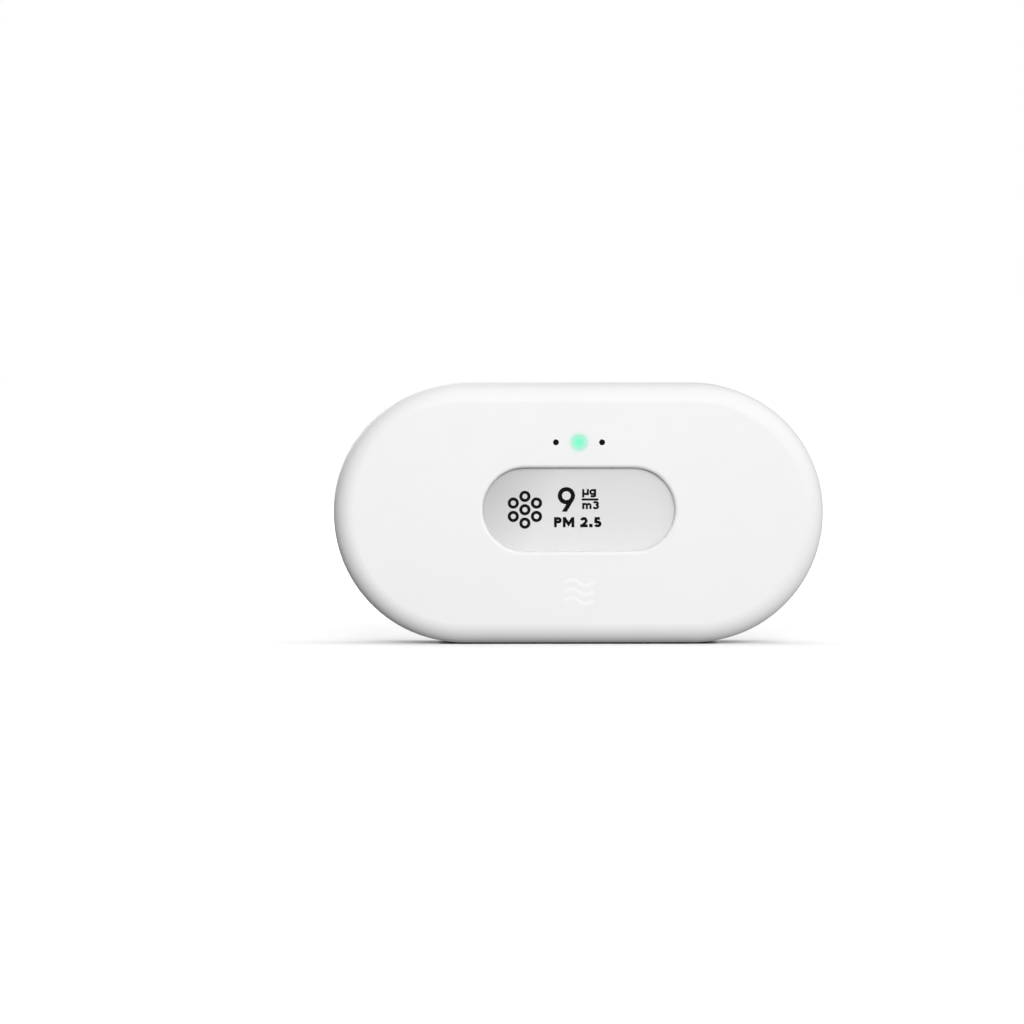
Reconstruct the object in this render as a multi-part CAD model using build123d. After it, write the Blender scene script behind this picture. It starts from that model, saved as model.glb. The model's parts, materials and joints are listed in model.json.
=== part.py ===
"""An indoor air quality monitor: a long round-ended white case that stands on its flat base or hangs on a
magnetic wall plate, with a paper-like display in a recess, an indicator light and two small sensor windows
on the front. Inside are a circuit board, gas, light, sound and motion sensors, a radon chamber, a fan-driven
dust sensor, and six cells in a bay behind the wall plate.

The front faces -Y, +Z is up, and the origin is the middle of the base. Lengths are millimetres. Places on the
front are given as x and v, where v is the height above the case's middle.
"""

from build123d import *
import math
import os

# ---- Overall size --------------------------------------------------------------------------------
WIDTH = 170.0
HEIGHT = 90.0
DEPTH = 33.0
MID_Z = HEIGHT / 2

# ---- Walls and depths along Y, from the front face at -DEPTH / 2 to the wall face at +DEPTH / 2 --
FRONT_Y = -DEPTH / 2
WALL_Y = DEPTH / 2
WALL = 2.2
FRONT_EDGE_R = 6.5
FRONT_IN_Y = FRONT_Y + WALL
RIM_Y = 9.0
REAR_OUT_Y = 8.8
REAR_IN_Y = REAR_OUT_Y - WALL
FIT = 0.15
PLATE_T = 2.4
PLATE_IN_Y = WALL_Y - PLATE_T
PLATE_SKIRT_Y = 10.7
PLATE_INSET = 1.0
PAD_Y = REAR_OUT_Y + 0.1
SKIRT_Y = 3.8
SKIRT_T = 1.2

# ---- Main board ----------------------------------------------------------------------------------
BOARD_INSET = 4.7
BOARD_FRONT_Y = -10.6
BOARD_T = 1.2
BOARD_BACK_Y = BOARD_FRONT_Y + BOARD_T
RADIO_X = -9.8
RADIO_V = -30.4
RADIO_Y = BOARD_FRONT_Y - 0.8
SHIELD_Y = RADIO_Y - 2.1
ANTENNA_X = -70.0

# ---- Display -------------------------------------------------------------------------------------
WINDOW_W = 66.6
WINDOW_H = 29.05
WINDOW_V = 1.3
WINDOW_RIM_R = 1.15
RECESS_DEPTH = 1.3
LENS_LAP = 1.5
LENS_Y = FRONT_Y + RECESS_DEPTH
GASKET_T = 0.5
PANEL_W = 79.0
PANEL_H = 36.7
PANEL_T = 1.05
INK_T = 0.45
PANEL_X = 3.0
PANEL_Y = FRONT_IN_Y + GASKET_T
FRAME_WALL = 1.2
FRAME_BACK_Y = -11.5
EAR_R = 2.6
EAR_X = 32.0
CABLE_W = 13.0
CABLE_T = 0.2
CABLE_Y = -13.0
CABLE_LOW_Y = -11.4
POST_R = 1.0
POST_HOLE_R = 1.05

# ---- Indicator light and the two sensor windows beside it ----------------------------------------
LIGHT_V = 24.65
LIGHT_R = 2.5
EYE_X = 8.0
EYE_R = 1.0
LENS_FLANGE_R = 3.2
LENS_FLANGE_T = 0.8
EYE_FLANGE_R = 1.7
EYE_FLANGE_T = 0.6
GUIDE_R = 1.5
GUIDE_END_Y = -12.3
SENSOR_FRONT_Y = -11.9

# ---- Printed emblem ------------------------------------------------------------------------------
EMBLEM_V = -27.1
EMBLEM_W = 10.0
EMBLEM_STROKE = 1.15
EMBLEM_PITCH = 3.1
EMBLEM_RISE = 0.95
EMBLEM_DEPTH = 0.2

# ---- Screws --------------------------------------------------------------------------------------
CASE_SCREWS = [(-57, 31), (57, 31), (-57, -31), (57, -31), (0, 35), (-24, -34.5), (24, -34.5)]
CASE_BOSS_R = 3.5
CASE_BOSS_TOP_Y = 4.4
CASE_PILOT_R = 1.25
CASE_PILOT_END_Y = -7.6
CASE_TIP_Y = -4.0
CASE_CLEAR_R = 1.6
CASE_HEAD_R = 2.7
CASE_HEAD_Y = 6.8
CASE_HEAD_T = 1.7
BOARD_SCREWS = [(-36, 34), (36, 34), (-36, -34), (36, -34)]
BOARD_POST_R = 3.0
BOARD_PILOT_R = 0.95
BOARD_PILOT_END_Y = -14.0
BOARD_TIP_Y = -13.6
BOARD_CLEAR_R = 1.1
BOARD_HEAD_R = 2.0
BOARD_HEAD_T = 1.3

# ---- Battery bay: six AA cells standing side by side ---------------------------------------------
CELLS = 6
CELL_R = 7.1
CELL_L = 50.5
CELL_PITCH = 14.7
NUB_R = 2.6
NUB_L = 1.2
BAY_X = 4.5
BAY_HALF_W = CELLS * CELL_PITCH / 2 + 0.1
BAY_HALF_H = 28.25
BAY_WALL = 1.3
BAY_FLOOR_Y = -6.1
BAY_FRONT_Y = BAY_FLOOR_Y - 1.2
CELL_Y = BAY_FLOOR_Y + 0.2 + CELL_R
CONTACT_T = 0.4
CONTACT_W = 10.6
SPRING_WIRE_R = 0.35
SPRING_TURNS = 3.5
SPRING_L = 4.7
SPRING_R = 4.2
SPRING_TAPER = -14
CAN_EDGE_R = 0.7
TAB_W = 3.0
RIB_V = 14.0
RIB_RISE = 1.8

# ---- Magnets -------------------------------------------------------------------------------------
MAGNETS = [(-66, 22), (66, 22), (-66, -22), (66, -22)]
MAGNET_R = 5.0
MAGNET_T = 2.0
MAGNET_FIT = 0.05
SEAT_WALL = 1.3
SEAT_FRONT_Y = 5.4
SEAT_FLOOR_Y = 6.7

# ---- Wall plate: screw holes, ribs and its notch for the cable -----------------------------------
WALL_HOLE_R = 2.25
WALL_HOLE_X = 40.0
WALL_HEAD_R = 4.5
NOTCH_W = 15.0
NOTCH_LIP = 1.6
PLATE_WALL = 1.6
PLATE_EDGE_R = 2.0
PLATE_RIB_T = 1.4
PLATE_RIB_RISE = 1.8
PLATE_RIB_V = 22.0
PLATE_RIB_X = 54.0
SCREW_PAD_RISE = 1.6

# ---- USB socket and reset button -----------------------------------------------------------------
USB_V = -35.6
USB_MOUTH_Y = -0.1
USB_W = 8.94
USB_H = 3.26
POCKET_W = 13.0
POCKET_H = 8.0
POCKET_R = 3.4
POCKET_WALL = 1.2
POCKET_FLOOR_Y = 1.2
POCKET_FRONT_Y = 0.1
RESET_X = 12.6
RESET_V = -35.6
RESET_CAP_R = 1.9
RESET_CAP_Y = 8.4
RESET_FLANGE_R = 2.5
RESET_FLANGE_Y = 5.4
RESET_BOSS_Y = 3.6
RESET_STEM_R = 1.2
SWITCH_TOP_Y = -7.5
PLUNGER_R = 0.8
PLUNGER_TOP_Y = -6.9

# ---- Dust sensor: a case with a blower, a laser and a light detector -----------------------------
DUST_X = -60.0
DUST_W = 34.6
DUST_H = 35.0
DUST_WALL = 1.2
DUST_FRONT_Y = -8.8
DUST_LID_Y = 1.8
DUST_BACK_Y = 3.2
DUST_INNER_W = DUST_W - 2 * DUST_WALL
DUST_INNER_H = DUST_H - 2 * DUST_WALL
DUST_BOARD_Y = -7.4
DUST_FLOOR_Y = -6.3
DUST_PLUG_V = 13.0
FAN_X = -65.6
FAN_V = -6.0
FAN_R = 9.3
FAN_HUB_R = 4.8
FAN_BLADES = 11
FAN_FRONT_Y = -5.2
FAN_BACK_Y = 0.9
SHAFT_R = 0.75
BUSH_BORE_R = 0.78
BUSH_R = 1.6
OPTICS_X = -50.2
OPTICS_W = 11.0
CHANNEL_X = -50.0
CHANNEL_Y = -4.6
OPTICS_BACK_Y = 1.6
DETECTOR_V = -5.0
LASER_X = -49.8
LASER_Y = -2.2
LASER_R = 2.8
LASER_V = 9.0
STATOR_R = 3.4
STATOR_BASE_Y = -5.7
STATOR_BACK_Y = -1.6

# ---- Radon chamber -------------------------------------------------------------------------------
RADON_LEFT_X = 53.2
RADON_HALF_H = 24.0
RADON_INSET = 5.4
RADON_WALL = 1.5
RADON_BACK_Y = 4.6
RADON_HOLE = (63.0, 0.0)
RADON_HOLE_R = 4.0
DETECTOR_X = 64.0

# ---- Air slots in the rear cover, and the sensors behind them ------------------------------------
SLOT_W = 1.3
SLOT_PITCH = 3.0
VENT_X = 20.0
VENT_V = 35.6
CO2_X = -13.6
CO2_V = -35.2
CO2_T = 6.2
FILTER_T = 0.3


# ---- Helpers -------------------------------------------------------------------------------------
def slab(outline, y_front, y_back, x=0.0, v=0.0):
    """A flat outline, drawn in x and height, made solid between two depths."""
    plane = Plane(origin=(x, y_back, MID_Z + v), x_dir=(1, 0, 0), z_dir=(0, -1, 0))
    return extrude(plane * outline, amount=y_back - y_front)


def rod(radius, y_front, y_back, x=0.0, v=0.0):
    """A round bar along Y."""
    return slab(Circle(radius), y_front, y_back, x, v)


def block(width, height, y_front, y_back, x=0.0, v=0.0, radius=0.0):
    """A rectangular bar along Y, with rounded corners if radius is given."""
    outline = RectangleRounded(width, height, radius) if radius else Rectangle(width, height)
    return slab(outline, y_front, y_back, x, v)


def stadium(inset=0.0):
    """The case's round-ended outline, made smaller by inset all round."""
    return SlotOverall(WIDTH - 2 * inset, HEIGHT - 2 * inset)


def window(margin=0.0):
    """The display window's outline, made larger by margin all round."""
    return SlotOverall(WINDOW_W + 2 * margin, WINDOW_H + 2 * margin)


def ring(outer, inner, y_front, y_back, x=0.0, v=0.0):
    """A tube along Y between two outlines."""
    return slab(outer, y_front, y_back, x, v) - slab(inner, y_front, y_back, x, v)


def each(maker, places):
    """One copy of what maker(x, v) returns at each place, fused into one shape."""
    return sum((maker(x, v) for x, v in places[1:]), maker(*places[0]))


def soften(solid, radius, depth, longer_than=0.0, shorter_than=1000.0):
    """Rounds the edges that lie at one depth along Y, chosen by their length."""
    edges = solid.edges().filter_by_position(Axis.Y, depth - 0.001, depth + 0.001)
    return fillet([e for e in edges if longer_than < e.length < shorter_than], radius)


def slots(columns, length, y_front, y_back, x, v):
    """A row of upright round-ended slots."""
    first = -(columns - 1) / 2
    places = [(x + (first + i) * SLOT_PITCH, v) for i in range(columns)]
    return each(lambda px, pv: slab(SlotOverall(length, SLOT_W, 90), y_front, y_back, px, pv), places)


def screw(x, v, head_r, head_y, head_t, shank_r, tip_y):
    """A pan-head screw along Y with a cross recess; head_y is where its head bears."""
    top = head_y + head_t
    head = soften(rod(head_r, head_y, top, x, v), 0.4 * head_t, top)
    wide, narrow = head_r, 0.22 * head_r
    head -= each(lambda w, h: block(w, h, top - 0.5 * head_t, top, x, v), [(wide, narrow), (narrow, wide)])
    return head + rod(shank_r, tip_y, head_y, x, v)


# ---- Case ----------------------------------------------------------------------------------------
def wave_line():
    """One line of the emblem: a crest and a trough of equal arcs."""
    half = EMBLEM_W / 2
    crest = ThreePointArc((-half, 0), (-half / 2, EMBLEM_RISE), (0, 0))
    trough = ThreePointArc((0, 0), (half / 2, -EMBLEM_RISE), (half, 0))
    return trace([crest, trough], EMBLEM_STROKE)


def emblem(depth):
    """Three parallel waves, a plain sign for moving air."""
    heights = [EMBLEM_V + row * EMBLEM_PITCH for row in (-1, 0, 1)]
    return [slab(wave_line(), FRONT_Y, FRONT_Y + depth, 0, v) for v in heights]


def front_cover():
    """The deep front shell, with the display recess, the light and sensor holes, bosses and posts."""
    body = slab(stadium(), FRONT_Y, RIM_Y)
    body -= slab(window(), FRONT_Y, FRONT_IN_Y + 1, v=WINDOW_V)
    body = soften(body, WINDOW_RIM_R, FRONT_Y, shorter_than=WINDOW_W)
    body = soften(body, FRONT_EDGE_R, FRONT_Y, longer_than=WIDTH / 2.2)
    body = soften(body, 0.5, RIM_Y)
    hollow = slab(stadium(WALL), FRONT_IN_Y, RIM_Y)
    body -= soften(hollow, FRONT_EDGE_R - WALL, FRONT_IN_Y)
    body -= slab(window(LENS_LAP + 0.1), LENS_Y, FRONT_IN_Y, v=WINDOW_V)
    body -= rod(LIGHT_R + 0.05, FRONT_Y, FRONT_IN_Y, 0, LIGHT_V)
    for side in (-1, 1):
        body -= rod(EYE_R + 0.03, FRONT_Y, FRONT_IN_Y, side * EYE_X, LIGHT_V)
    for line in emblem(EMBLEM_DEPTH):
        body -= line
    body += each(lambda x, v: rod(CASE_BOSS_R, FRONT_IN_Y, CASE_BOSS_TOP_Y, x, v), CASE_SCREWS)
    body -= each(lambda x, v: rod(CASE_PILOT_R, CASE_PILOT_END_Y, CASE_BOSS_TOP_Y, x, v), CASE_SCREWS)
    body += each(lambda x, v: rod(BOARD_POST_R, FRONT_IN_Y, BOARD_FRONT_Y, x, v), BOARD_SCREWS)
    body -= each(lambda x, v: rod(BOARD_PILOT_R, BOARD_PILOT_END_Y, BOARD_FRONT_Y, x, v), BOARD_SCREWS)
    body += each(lambda x, v: rod(POST_R, FRONT_IN_Y, FRAME_BACK_Y + 0.4, x, v), frame_ears())
    return body


def rear_cover():
    """The rear shell: a plate with the battery bay, screw seats, magnet seats, air slots and cable pocket."""
    inset = WALL + FIT
    body = slab(stadium(inset), REAR_IN_Y, REAR_OUT_Y)
    body += ring(stadium(inset), stadium(inset + SKIRT_T), SKIRT_Y, REAR_IN_Y)
    body += each(lambda x, v: rod(CASE_BOSS_R, CASE_BOSS_TOP_Y + 0.1, REAR_IN_Y, x, v), CASE_SCREWS)
    body += each(lambda x, v: rod(MAGNET_R + SEAT_WALL, SEAT_FRONT_Y, REAR_IN_Y, x, v), MAGNETS)
    body += block(2 * (BAY_HALF_W + BAY_WALL), 2 * (BAY_HALF_H + BAY_WALL), BAY_FRONT_Y, REAR_IN_Y, BAY_X,
                  radius=2.0)
    body += block(POCKET_W + 2 * POCKET_WALL, POCKET_H + 2 * POCKET_WALL, POCKET_FRONT_Y, REAR_IN_Y, 0, USB_V,
                  POCKET_R + POCKET_WALL)
    body += rod(RESET_FLANGE_R + POCKET_WALL, RESET_BOSS_Y, REAR_IN_Y, RESET_X, RESET_V)
    body -= block(2 * BAY_HALF_W, 2 * BAY_HALF_H, BAY_FLOOR_Y, REAR_OUT_Y, BAY_X, radius=0.8)
    body += bay_ribs()
    for x in contact_tabs():
        body -= block(TAB_W + 0.6, 0.9, BAY_FRONT_Y, BAY_FLOOR_Y, x, -BAY_HALF_H + 0.45)
    body -= each(lambda x, v: rod(CASE_CLEAR_R, CASE_BOSS_TOP_Y, REAR_OUT_Y, x, v), CASE_SCREWS)
    body -= each(lambda x, v: rod(CASE_HEAD_R + 0.2, CASE_HEAD_Y, REAR_OUT_Y, x, v), CASE_SCREWS)
    body -= each(lambda x, v: rod(MAGNET_R + MAGNET_FIT, SEAT_FLOOR_Y, REAR_OUT_Y, x, v), MAGNETS)
    body -= block(POCKET_W, POCKET_H, POCKET_FLOOR_Y, REAR_OUT_Y, 0, USB_V, POCKET_R)
    body -= slab(SlotOverall(USB_W + 0.4, USB_H + 0.4), POCKET_FRONT_Y, POCKET_FLOOR_Y, 0, USB_V)
    body -= rod(RESET_FLANGE_R + 0.2, RESET_BOSS_Y, REAR_IN_Y, RESET_X, RESET_V)
    body -= rod(RESET_CAP_R + 0.2, REAR_IN_Y, REAR_OUT_Y, RESET_X, RESET_V)
    for x, v, columns, length in air_slots():
        body -= slots(columns, length, REAR_IN_Y, REAR_OUT_Y, x, v)
    return body


def bay_ribs():
    """Low ribs on the bay's floor that keep the cells apart."""
    ribs = []
    for i in range(1, CELLS):
        x = BAY_X + (i - CELLS / 2) * CELL_PITCH
        for v in (-RIB_V, RIB_V):
            ribs.append(block(1.0, 9.0, BAY_FLOOR_Y, BAY_FLOOR_Y + RIB_RISE, x, v))
    return ribs


def air_slots():
    """Centre, number and length of each row of air slots; the first two serve the dust sensor."""
    return [
        (OPTICS_X, 0.0, 4, 24.0),
        (FAN_X, FAN_V, 3, 9.0),
        (*RADON_HOLE, 5, 16.0),
        (-VENT_X, VENT_V, 5, 6.0),
        (VENT_X, VENT_V, 5, 6.0),
        (CO2_X, CO2_V, 3, 6.0),
    ]


def vent_filters():
    """Dust filter sheets behind the air slots, apart from the dust sensor's own."""
    sheets = [(16.0, 9.0, -VENT_X, VENT_V), (16.0, 9.0, VENT_X, VENT_V), (9.4, 9.0, CO2_X, CO2_V),
              (17.0, 20.0, *RADON_HOLE)]
    return [block(w, h, REAR_IN_Y - FILTER_T, REAR_IN_Y, x, v, 1.0) for w, h, x, v in sheets]


def notch(margin, y_front, y_back):
    """The cable's way out of the wall plate: from its lower edge to above the socket."""
    width = NOTCH_W + 2 * margin
    lower = block(width, HEIGHT / 2 + USB_V + 1, y_front, y_back, 0, (USB_V - HEIGHT / 2 - 1) / 2)
    return lower + rod(width / 2, y_front, y_back, 0, USB_V)


def wall_plate():
    """The magnetic plate: a shallow dish with magnet pads, two screw holes, ribs and the cable notch."""
    plate = slab(stadium(PLATE_INSET), PLATE_SKIRT_Y, WALL_Y)
    plate = soften(plate, PLATE_EDGE_R, WALL_Y)
    plate = soften(plate, 0.4, PLATE_SKIRT_Y)
    plate -= slab(stadium(PLATE_INSET + PLATE_WALL), PLATE_SKIRT_Y, PLATE_IN_Y)
    plate += each(lambda x, v: rod(MAGNET_R + 1.5, PAD_Y, PLATE_IN_Y, x, v), MAGNETS)
    plate -= each(lambda x, v: rod(MAGNET_R + MAGNET_FIT, PAD_Y, PAD_Y + MAGNET_T + 0.1, x, v), MAGNETS)
    rib_y = PLATE_IN_Y - PLATE_RIB_RISE
    pad_y = PLATE_IN_Y - SCREW_PAD_RISE
    for side in (-1, 1):
        plate += block(118, PLATE_RIB_T, rib_y, PLATE_IN_Y, 0, side * PLATE_RIB_V)
        plate += block(PLATE_RIB_T, 76, rib_y, PLATE_IN_Y, side * PLATE_RIB_X)
        plate += rod(WALL_HEAD_R + 2, pad_y, PLATE_IN_Y, side * WALL_HOLE_X)
    for side in (-1, 1):
        plate -= rod(WALL_HOLE_R, pad_y, WALL_Y, side * WALL_HOLE_X)
        plate -= rod(WALL_HEAD_R, pad_y, PLATE_IN_Y + 0.2, side * WALL_HOLE_X)
    lip = notch(NOTCH_LIP, PLATE_IN_Y - 2.4, PLATE_IN_Y)
    plate += lip & slab(stadium(PLATE_INSET + 1), PLATE_SKIRT_Y, WALL_Y)
    return plate - notch(0, PLATE_SKIRT_Y - 1, WALL_Y + 1)


def case_screws():
    """Seven pan-head screws that hold the rear cover to the front cover's bosses."""
    return [screw(x, v, CASE_HEAD_R, CASE_HEAD_Y, CASE_HEAD_T, CASE_PILOT_R - 0.05, CASE_TIP_Y)
            for x, v in CASE_SCREWS]


def board_screws():
    """Four small screws that hold the main board to the front cover."""
    return [screw(x, v, BOARD_HEAD_R, BOARD_BACK_Y, BOARD_HEAD_T, BOARD_PILOT_R - 0.05, BOARD_TIP_Y)
            for x, v in BOARD_SCREWS]


def magnets(y_front):
    """Four disc magnets at one depth."""
    return [rod(MAGNET_R, y_front, y_front + MAGNET_T, x, v) for x, v in MAGNETS]


# ---- Display -------------------------------------------------------------------------------------
def display_lens():
    """The clear cover in the recess, let into the front wall from behind."""
    return slab(window(LENS_LAP), LENS_Y, FRONT_IN_Y, v=WINDOW_V)


def display_gasket():
    """A foam frame between the front cover and the display panel."""
    outer = block(PANEL_W - 0.4, PANEL_H - 0.4, FRONT_IN_Y, PANEL_Y, PANEL_X, WINDOW_V)
    return outer - block(WINDOW_W + 4.2, WINDOW_H + 4.2, FRONT_IN_Y, PANEL_Y, 0, WINDOW_V, 3.0)


def display_panel():
    """The paper-like display: a glass plate with the ink layer on its front and a ledge on the cable side."""
    ink_y = PANEL_Y + INK_T
    glass = block(PANEL_W, PANEL_H, ink_y, PANEL_Y + PANEL_T, PANEL_X, WINDOW_V, 0.5)
    return glass + block(PANEL_W - 5, PANEL_H - 1, PANEL_Y, ink_y, PANEL_X - 2.2, WINDOW_V)


def frame_ears():
    """Places of the display frame's four fixing ears."""
    reach = PANEL_H / 2 + FIT + FRAME_WALL + 1.6
    return [(PANEL_X + sx * EAR_X, WINDOW_V + sv * reach) for sx in (-1, 1) for sv in (-1, 1)]


def display_frame():
    """The plastic frame that holds the panel against the front cover, on four posts."""
    width = PANEL_W + 2 * (FIT + FRAME_WALL)
    height = PANEL_H + 2 * (FIT + FRAME_WALL)
    body = block(width, height, FRONT_IN_Y, FRAME_BACK_Y, PANEL_X, WINDOW_V, 1.5)
    body += each(lambda x, v: rod(EAR_R, FRAME_BACK_Y - 1.2, FRAME_BACK_Y, x, v), frame_ears())
    seat_y = PANEL_Y + PANEL_T + 0.05
    body -= block(PANEL_W + 2 * FIT, PANEL_H + 2 * FIT, FRONT_IN_Y, seat_y, PANEL_X, WINDOW_V)
    body -= block(PANEL_W - 8, PANEL_H - 7, FRONT_IN_Y, FRAME_BACK_Y, PANEL_X, WINDOW_V, 2.0)
    body -= each(lambda x, v: rod(POST_HOLE_R, FRONT_IN_Y, FRAME_BACK_Y, x, v), frame_ears())
    right = PANEL_X + width / 2
    return body - block(2 * FRAME_WALL + 1, CABLE_W + 1, FRONT_IN_Y, CABLE_Y + 0.4, right, WINDOW_V)


def display_cable():
    """The flat cable from the panel's ledge to its connector on the main board."""
    start = PANEL_X + PANEL_W / 2
    route = FilletPolyline((start, CABLE_Y), (start + 3.2, CABLE_Y), (start + 5.0, CABLE_LOW_Y),
                           (start + 8.4, CABLE_LOW_Y), radius=0.8)
    ribbon = extrude(trace(route, CABLE_T), amount=CABLE_W)
    return Pos(0, 0, MID_Z + WINDOW_V - CABLE_W / 2) * ribbon


def display_connector():
    """The flat cable's connector on the board, with its flip lock."""
    x = PANEL_X + PANEL_W / 2 + 8.6
    body = block(4.4, CABLE_W + 3, BOARD_FRONT_Y - 1.5, BOARD_FRONT_Y, x, WINDOW_V)
    return body - block(2.8, CABLE_W + 0.2, CABLE_LOW_Y - CABLE_T, CABLE_LOW_Y + CABLE_T, x - 1.0, WINDOW_V)


# ---- Indicator light and front sensors -----------------------------------------------------------
def indicator_lens():
    """The round light diffuser, flush with the front, with a flange and a light guide behind."""
    body = rod(LIGHT_R, FRONT_Y, FRONT_IN_Y, 0, LIGHT_V)
    body += rod(LENS_FLANGE_R, FRONT_IN_Y, FRONT_IN_Y + LENS_FLANGE_T, 0, LIGHT_V)
    return body + rod(GUIDE_R, FRONT_IN_Y + LENS_FLANGE_T, GUIDE_END_Y, 0, LIGHT_V)


def sensor_window(x):
    """A dark round window, flush with the front, with a small flange behind."""
    body = rod(EYE_R, FRONT_Y, FRONT_IN_Y, x, LIGHT_V)
    return body + rod(EYE_FLANGE_R, FRONT_IN_Y, FRONT_IN_Y + EYE_FLANGE_T, x, LIGHT_V)


def light_baffle():
    """The black rubber block that keeps the light and the two sensors apart."""
    body = block(24.0, 7.0, FRONT_IN_Y, BOARD_FRONT_Y - 0.05, 0, LIGHT_V, 2.0)
    body -= rod(LENS_FLANGE_R + 0.1, FRONT_IN_Y, FRONT_IN_Y + LENS_FLANGE_T + 0.1, 0, LIGHT_V)
    body -= rod(GUIDE_R + 0.2, FRONT_IN_Y, SENSOR_FRONT_Y, 0, LIGHT_V)
    body -= block(4.2, 3.8, GUIDE_END_Y, BOARD_FRONT_Y, 0, LIGHT_V)
    for x in (-EYE_X, EYE_X):
        body -= rod(EYE_FLANGE_R + 0.1, FRONT_IN_Y, FRONT_IN_Y + EYE_FLANGE_T + 0.1, x, LIGHT_V)
        body -= rod(EYE_R, FRONT_IN_Y, SENSOR_FRONT_Y, x, LIGHT_V)
        body -= block(4.6, 3.2, SENSOR_FRONT_Y - 0.3, BOARD_FRONT_Y, x, LIGHT_V)
    return body


def indicator_led():
    """The light-emitting chip and its package."""
    body = block(3.4, 2.8, SENSOR_FRONT_Y, BOARD_FRONT_Y, 0, LIGHT_V, 0.3)
    return body - rod(1.1, SENSOR_FRONT_Y, SENSOR_FRONT_Y + 0.3, 0, LIGHT_V)


def motion_sensor():
    """The proximity sensor: an emitter and a detector in one package."""
    body = block(3.9, 2.4, SENSOR_FRONT_Y, BOARD_FRONT_Y, -EYE_X, LIGHT_V)
    for dx, radius in ((-1.0, 0.6), (1.0, 0.8)):
        body -= rod(radius, SENSOR_FRONT_Y, SENSOR_FRONT_Y + 0.3, dx - EYE_X, LIGHT_V)
    return body


def light_sensor():
    """The ambient light sensor."""
    body = chip(2.0, 2.0, 0.7, EYE_X, LIGHT_V, back=False)
    return body - rod(0.6, BOARD_FRONT_Y - 0.7, BOARD_FRONT_Y - 0.55, EYE_X, LIGHT_V)


# ---- Main board and what is soldered to it -------------------------------------------------------
def main_board():
    """The circuit board, with holes for the case bosses and its own screws."""
    body = slab(stadium(BOARD_INSET), BOARD_FRONT_Y, BOARD_BACK_Y)
    body -= each(lambda x, v: rod(CASE_BOSS_R + 0.5, BOARD_FRONT_Y, BOARD_BACK_Y, x, v), CASE_SCREWS)
    return body - each(lambda x, v: rod(BOARD_CLEAR_R, BOARD_FRONT_Y, BOARD_BACK_Y, x, v), BOARD_SCREWS)


def chip(width, height, thick, x, v, back=True):
    """A soldered package on the back or the front of the board."""
    if back:
        return block(width, height, BOARD_BACK_Y, BOARD_BACK_Y + thick, x, v)
    return block(width, height, BOARD_FRONT_Y - thick, BOARD_FRONT_Y, x, v)


def processor_chip():
    """The processor, with a marking dot for its first pin."""
    body = soften(chip(8.0, 8.0, 1.0, 11.5, -29.0, back=False), 0.15, BOARD_FRONT_Y - 1.0)
    return body - rod(0.4, BOARD_FRONT_Y - 1.0, BOARD_FRONT_Y - 0.9, 8.6, -26.1)


def radio_module():
    """The radio's own small board, with its antenna end bare."""
    return block(18.0, 15.5, RADIO_Y, BOARD_FRONT_Y, RADIO_X, RADIO_V)


def radio_shield():
    """The metal can over the radio."""
    can = block(13.0, 12.6, SHIELD_Y, RADIO_Y, RADIO_X + 1.4, RADIO_V, 0.6)
    return soften(can, 0.4, SHIELD_Y)


def antenna():
    """The stamped long-range antenna: a folded strip standing on two feet."""
    y_front = BOARD_FRONT_Y - 2.6
    points = [(0, 9), (6, 9), (6, 5), (0, 5), (0, 1), (6, 1), (6, -3), (0, -3), (0, -7), (6, -7)]
    strip = trace(Polyline(*points), 1.4)
    body = slab(strip, y_front, y_front + 0.3, ANTENNA_X, 0)
    for x, v in (points[0], points[-1]):
        body += block(1.4, 1.4, y_front + 0.3, BOARD_FRONT_Y, ANTENNA_X + x, v)
    return body


def board_components():
    """Small passive parts: rows of capacitors and resistors, and two inductors."""
    parts = []
    for i in range(7):
        parts.append(chip(1.0, 1.8, 0.7, 18.0 + 2.2 * i, -25.2, back=False))
        parts.append(chip(1.0, 1.8, 0.5, 18.0 + 2.2 * i, -28.6, back=False))
    for i in range(5):
        parts.append(chip(1.6, 0.9, 0.6, 56.0, -8.0 + 4.0 * i, back=False))
        parts.append(chip(1.6, 0.9, 0.6, 60.0, -8.0 + 4.0 * i, back=False))
    for x in (20.5, 27.0):
        coil = chip(4.4, 4.4, 2.2, x, 26.0, back=False)
        parts.append(fillet(coil.edges().filter_by(Axis.Y), 1.2))
    for i in range(4):
        parts.append(chip(2.0, 1.2, 0.8, -30.0 + 3.6 * i, 26.5, back=False))
    return parts


def usb_socket():
    """The upright USB-C socket: a steel shell round a tongue on a base."""
    outer = SlotOverall(USB_W, USB_H)
    inner = SlotOverall(USB_W - 0.6, USB_H - 0.6)
    base_y = BOARD_BACK_Y + 3.2
    body = ring(outer, inner, BOARD_BACK_Y, USB_MOUTH_Y, 0, USB_V)
    body += slab(outer, BOARD_BACK_Y, base_y, 0, USB_V)
    return body + block(6.7, 0.7, base_y, USB_MOUTH_Y - 0.9, 0, USB_V)


def reset_switch():
    """The body of the small push switch under the reset button."""
    body = block(4.2, 3.4, BOARD_BACK_Y, SWITCH_TOP_Y, RESET_X, RESET_V)
    return body - rod(PLUNGER_R + 0.05, SWITCH_TOP_Y - 0.9, SWITCH_TOP_Y, RESET_X, RESET_V)


def reset_plunger():
    """The switch's moving plunger."""
    return rod(PLUNGER_R, SWITCH_TOP_Y - 0.3, PLUNGER_TOP_Y, RESET_X, RESET_V)


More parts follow.
